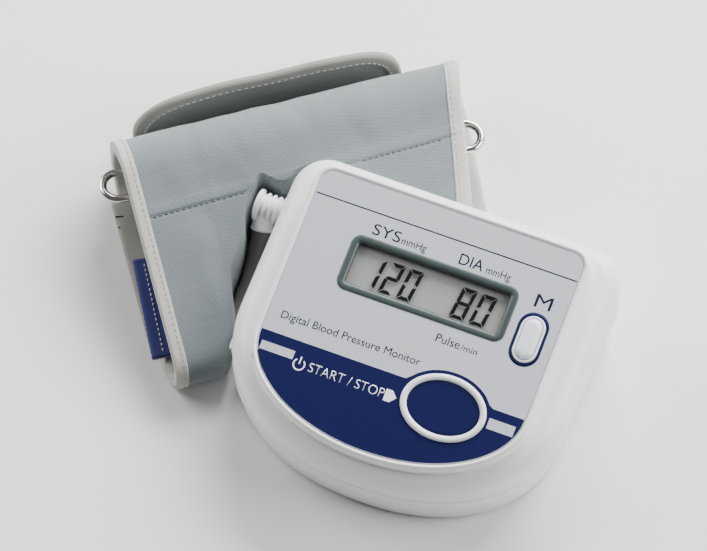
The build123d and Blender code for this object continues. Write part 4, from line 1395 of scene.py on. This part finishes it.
def make_tail_tape():
    """Folded tape along the free end's rounded edge, with its stitches."""
    edge = []
    steps = 120
    for k in range(steps + 1):
        f = k / steps
        s = TAIL_LEFT + (TAIL_RIGHT - TAIL_LEFT) * (0.5 - 0.5 * cos(pi * f))
        edge.append((s, tail_limit(s, 0.0)))
    left = [(TAIL_LEFT, edge[0][1] * i / 10) for i in range(10)]
    right = [(TAIL_RIGHT, edge[-1][1] * (10 - i) / 10) for i in range(1, 11)]
    line = left + edge + right
    half = TAIL_THICK / 2
    profile = (
        (0.0050, -half), (0.0049, -half - 0.0003), (0.0044, -half - 0.0005), (0.0036, -half - 0.0004),
        (0.0020, -half - 0.0006), (0.0006, -half - 0.0005), (-0.0003, -half - 0.0001), (-0.0007, 0.0),
        (-0.0003, half + 0.0001), (0.0006, half + 0.0005), (0.0036, half + 0.0005), (0.0049, half + 0.0003),
        (0.0050, half), (0.0025, half), (0.0012, 0.0), (0.0025, -half),
    )
    rings, path, ups, uvs = [], [], [], []
    walk = 0.0
    for k, (s, distance) in enumerate(line):
        a, b = line[max(0, k - 1)], line[min(len(line) - 1, k + 1)]
        ds, dd = b[0] - a[0], b[1] - a[1]
        size = max(hypot(ds, dd), 1e-9)
        ins, ind = dd / size, -ds / size
        if k:
            walk += hypot(s - line[k - 1][0], distance - line[k - 1][1])
        ring = []
        for e, d in profile:
            ring.append(tail_point(s + ins * e, max(0.0, distance + ind * e), d))
            uvs.append((walk, e))
        rings.append(ring)
        place = (s + ins * TAPE_STITCH, max(0.0, distance + ind * TAPE_STITCH))
        path.append(tail_point(*place, -half - 0.00045))
        ups.append(path[-1] - tail_point(*place, -half))
    vertices = [v for ring in rings for v in ring]
    faces = ring_faces(rings)
    many = len(profile)
    faces.append(tuple(range(many)))
    faces.append(tuple(range((len(rings) - 1) * many, len(rings) * many)))
    piece = mesh_piece("free_end_tape", vertices, faces, TAPE_DARKER, "cuff_set", uvs=uvs)
    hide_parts("tail_binding")
    inner = slice(12, -12)
    stitches("free_end_stitches", path[inner], ups[inner], 0.0026, 0.0016, 0.0002, WHITE_THREAD)


RING_CENTRE = (0.0665, 0.0885, 0.0185)
RING_SKEW = radians(-6.3)
RING_BAR = 0.0059
RING_WIRE = 0.0016


def at_ring(along, aside, height):
    c, n = cos(RING_SKEW), sin(RING_SKEW)
    s, t, z = RING_CENTRE
    return at_cuff(s + along * c - aside * n, t + along * n + aside * c, z + height)


def make_ring_sleeve():
    half = 0.0490
    outer = RING_WIRE + 0.0012
    rings = []
    steps = 60
    foot = SHELL - RING_CENTRE[2] + 0.0003
    for k in range(steps + 1):
        along = -half + 2 * half * k / steps
        swell_out = 0.00012 * sin(along * 900) + 0.0001 * noise.noise(Vector((along * 90, 2.0, 5.0)))
        ring = []
        for angle_step in range(18):
            angle = radians(-60 + 300 * angle_step / 17)
            r = outer + swell_out
            ring.append(at_ring(along, RING_BAR + r * cos(angle), r * sin(angle)))
        ring.append(at_ring(along, RING_BAR - 0.0006, foot))
        ring.append(at_ring(along, RING_BAR + 0.0006, foot))
        rings.append(ring)
    piece = ring_piece("ring_sleeve_cloth", rings, LINING, "cuff_set", cap_first=True, cap_last=True)
    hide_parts("ring_sleeve")


def tab_sheet(name, node, corners, heights, thick, material, wave=0.0):
    """A sewn strip: corners are near-left, near-right, far-right, far-left in (s, t)."""
    wide, tall = 8, 40
    vertices, uvs, faces = [], [], []
    for level_z in (0.0, thick):
        for j in range(tall + 1):
            g = j / tall
            for i in range(wide + 1):
                f = i / wide
                s, t = (
                    lerp(lerp(corners[0][k], corners[1][k], f), lerp(corners[3][k], corners[2][k], f), g)
                    for k in (0, 1)
                )
                if i == 0 and wave:
                    s += wave * sin(g * 46 * pi * (corners[3][1] - corners[0][1]) / 0.045)
                z = heights[0] * (1 - g) + heights[1] * g + level_z
                z += 0.0003 * noise.noise(Vector((s * 60, t * 40, 4.0)))
                rounding = 0.0004 * (1 if i in (0, wide) else 0)
                z += rounding if level_z == 0.0 else -rounding
                vertices.append(at_cuff(s, t, max(z, 0.0001)))
                uvs.append((s, t))
    many = wide + 1
    offset = many * (tall + 1)
    for j in range(tall):
        for i in range(wide):
            quad = (j * many + i, j * many + i + 1, (j + 1) * many + i + 1, (j + 1) * many + i)
            faces.append(quad)
            faces.append(tuple(v + offset for v in reversed(quad)))
    rim = [(j, 0) for j in range(tall + 1)] + [(tall, i) for i in range(1, wide + 1)]
    rim += [(j, wide) for j in range(tall - 1, -1, -1)] + [(0, i) for i in range(wide - 1, 0, -1)]
    for (a, b), (c, d) in zip(rim, rim[1:] + rim[:1]):
        faces.append((a * many + b, c * many + d, offset + c * many + d, offset + a * many + b))
    piece = mesh_piece(name, vertices, faces, material, "cuff_set", uvs=uvs)
    if node:
        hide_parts(node)


def make_tabs():
    blue = ((-0.0053, 0.0262), (0.0052, 0.0255), (0.0052, 0.0690), (-0.0020, 0.0697))
    tab_sheet("artery_tab", "artery_mark", blue, (0.0062, 0.0052), 0.0012, BLUE_CLOTH, 0.00016)
    pale = ((-0.0050, 0.0265), (0.0052, 0.0265), (0.0052, 0.0965), (-0.0038, 0.0965))
    tab_sheet("size_tab", "size_label", pale, (0.0047, 0.0042), 0.0010, LABEL_CLOTH)
    path, ups = [], []
    for k in range(60):
        f = k / 59
        s, t = -0.0006 + 0.0026 * f, 0.0270 + 0.0415 * f
        path.append(at_cuff(s, t, 0.0075 - 0.0010 * f))
        ups.append(Vector((0, 0, 1)))
    stitches("artery_tab_stitches", path, ups, 0.0022, 0.0014, 0.00022, WHITE_THREAD, 0.0)
    vertices, faces = [], []
    for t in (0.0905, 0.0857):
        base = len(vertices)
        plan = ((-0.0036, t), (-0.0006, t - 0.0006), (-0.0006, t - 0.0013), (-0.0036, t - 0.0007))
        vertices += [at_cuff(*place, z) for z in (0.00525, 0.00535) for place in plan]
        faces += [(base, base + 1, base + 2, base + 3), (base + 4, base + 5, base + 6, base + 7)]
        faces += [(base + i, base + (i + 1) % 4, base + 4 + (i + 1) % 4, base + 4 + i) for i in range(4)]
    bars = mesh_piece("size_tab_marks", vertices, faces, DARK_INK, "cuff_set", smooth=False)


# --- air plug and hose ---------------------------------------------------------------------------
AIR_Y = -0.007
AIR_Z = 0.025
HOSE_DIAMETER = 0.008
HOSE_ROUTE = (
    (-0.0725, -0.0136, 0.0198), (-0.0710, -0.0230, 0.0122), (-0.0702, -0.0340, 0.0072),
    (-0.0700, -0.0465, 0.0050), (-0.0706, -0.0605, 0.0062),
)


# The plug's outline, part by part: (distance along, radius).
PLUG_FLANGE = (
    (0.0, 0.0008), (0.0, 0.0034), (0.0004, 0.0036), (0.0004, 0.0050), (0.0001, 0.0058),
    (0.0005, 0.0063), (0.0013, 0.0064), (0.0019, 0.0061), (0.0021, 0.0052), (0.0026, 0.0047),
)
PLUG_RIB = (
    (-0.0012, 0.0047), (-0.0010, 0.0055), (-0.0007, 0.0057), (-0.0003, 0.0057), (0.0, 0.0054),
    (0.0002, 0.0047),
)
PLUG_SPIGOT = (
    (-0.0004, 0.0047), (0.0, 0.0044), (0.0, 0.0031), (0.0116, 0.0030), (0.0120, 0.0026), (0.0120, 0.0010),
)
PLUG_STUB = (
    (-0.0006, 0.0040), (-0.0006, 0.0044), (0.0, 0.0047), (0.0008, 0.0047), (0.0012, 0.0044),
    (0.0020, 0.0044), (0.0085, 0.0042), (0.0088, 0.0030),
)


def turned(profile, place, direction, sides=40):
    """Rings of a turned piece: profile of (distance along, radius)."""
    direction = direction.normalized()
    side = direction.orthogonal().normalized()
    up = direction.cross(side)
    rings = []
    for distance, radius in profile:
        centre = place + direction * distance
        rings.append(circle(centre, side, up, radius, sides))
    return rings


def make_plug():
    wall = -BODY_HALF - 0.0012
    end = -0.0774
    place = at_unit(end, AIR_Y, AIR_Z)
    profile = list(PLUG_FLANGE)
    for i in (2, 1, 0):
        x = -0.0684 - 0.0023 * i - end
        profile += [(x + along, radius) for along, radius in PLUG_RIB]
    length = wall - end
    profile += [(length + along, radius) for along, radius in PLUG_SPIGOT]
    rings = turned(profile, place, Vector((1, 0, 0)))
    body = ring_piece("air_plug_body", rings, GLOSS_WHITE, "cuff_set", cap_first=True, cap_last=True)
    start = at_unit(*HOSE_ROUTE[0])
    away = start - at_unit(*HOSE_ROUTE[1])
    rings = turned(PLUG_STUB, start, away)
    collar = ring_piece("air_plug_stub", rings, GLOSS_WHITE, "cuff_set", cap_first=True, cap_last=True)
    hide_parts("air_plug")
    return body, collar


def make_hose(pieces):
    curve = bpy.data.curves.new("air_hose_line", "CURVE")
    curve.dimensions = "3D"
    spline = curve.splines.new("NURBS")
    spline.points.add(len(HOSE_ROUTE) - 1)
    for point, place in zip(spline.points, HOSE_ROUTE):
        point.co = (*at_unit(*place), 1.0)
    spline.order_u = 3
    spline.use_endpoint_u = True
    spline.resolution_u = 16
    curve.bevel_depth = HOSE_DIAMETER / 2
    curve.bevel_resolution = 6
    curve.use_fill_caps = True
    curve.materials.append(HOSE)
    hose = bpy.data.objects.new("air_hose_tube", curve)
    collection.objects.link(hose)
    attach(hose, "cuff_set")
    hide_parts("air_hose")


# --- floor, light and camera ------------------------------------------------------------------------
def make_stage():
    size = 3.0
    mesh = bpy.data.meshes.new("floor")
    corners = [(-size, -size, 0), (size, -size, 0), (size, size, 0), (-size, size, 0)]
    mesh.from_pydata(corners, [], [(0, 1, 2, 3)])
    floor = bpy.data.objects.new("floor", mesh)
    collection.objects.link(floor)
    n = Nodes("floor_white")
    tone = n.ramp(n.noise(3.0), "Fac", [(0.3, grey(0.86)), (0.7, grey(0.88))])
    n.link(tone, "Color", n.shader, "Base Color")
    n.set(Roughness=0.9)
    mesh.materials.append(n.material)
    world = bpy.data.worlds.new("studio")
    world.use_nodes = True
    world.node_tree.nodes["Background"].inputs["Color"].default_value = rgb(0.95, 0.97, 1.0)
    world.node_tree.nodes["Background"].inputs["Strength"].default_value = 0.13
    bpy.context.scene.world = world


def soft_light(name, place, target, power, size):
    data = bpy.data.lights.new(name, "AREA")
    data.energy = power
    data.shape = "RECTANGLE"
    data.size, data.size_y = size
    lamp = bpy.data.objects.new(name, data)
    lamp.location = place
    aim = Vector(target) - Vector(place)
    lamp.rotation_euler = aim.to_track_quat("-Z", "Y").to_euler()
    collection.objects.link(lamp)


def make_lights():
    soft_light("back", (0.10, 0.95, 0.75), (0, 0, 0), 40.0, (1.1, 0.5))
    soft_light("right", (1.0, 0.25, 0.70), (0, 0, 0), 14.0, (0.7, 0.7))
    soft_light("left", (-0.95, 0.1, 0.60), (0, 0, 0), 11.0, (0.7, 0.7))


def make_camera():
    """Long lens from the front right, looking down by about 62 degrees."""
    data = bpy.data.cameras.new("camera")
    data.sensor_width = 36.0
    data.lens = 229.14
    camera = bpy.data.objects.new("camera", data)
    camera.location = at_unit(0.2613, -0.7652, 1.5197)
    camera.rotation_euler = (radians(28.121), 0.0, radians(21.535))
    collection.objects.link(camera)
    bpy.context.scene.camera = camera


# --- make everything -----------------------------------------------------------------------------------
make_camera()
make_stage()
make_lights()
make_hose(make_plug())
make_upper_case()
make_bezel()
make_start_ring()
make_memory_ring()
make_start_key()
make_memory_key()
make_print()
make_words()
make_digits()
make_cuff_loop()
make_tail()
make_ring_sleeve()
make_tabs()

FINISHES = {
    "lower_case": WHITE, "battery_cover": WHITE, "rubber_feet": FOOT, "case_screws": STEEL,
    "panel_label": LABEL, "lcd_window": WINDOW, "lcd_glass": LCD, "lcd_holder": INSIDE,
    "zebra_strips": SEAL, "main_board": BOARD, "board_screws": STEEL, "start_switch": BLACK,
    "start_plunger": BLACK, "memory_switch": BLACK, "memory_plunger": BLACK, "buzzer": BLACK,
    "pressure_sensor": BLACK, "pump_motor": STEEL, "pump_shaft": STEEL, "pump_head": BLACK,
    "release_valve": STEEL, "valve_plunger": STEEL, "air_manifold": INSIDE, "inner_hoses": SEAL,
    "air_socket": INSIDE, "socket_seal": SEAL, "battery_cells": CELL, "battery_contacts": STEEL,
    "air_plug": WHITE, "air_hose": HOSE, "cuff_outer_fabric": NYLON, "air_bladder": FILM,
    "cuff_padding": WADDING, "cuff_inner_fabric": LINING, "cuff_binding_left": TAPE,
    "cuff_binding_right": TAPE, "cuff_tail": LINING, "tail_binding": TAPE_DARKER,
    "cuff_ring": NICKEL, "ring_sleeve": LINING, "artery_mark": BLUE_CLOTH, "size_label": LABEL_CLOTH,
}
for node_name, material in FINISHES.items():
    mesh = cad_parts[node_name].data
    mesh.materials.clear()
    mesh.materials.append(material)
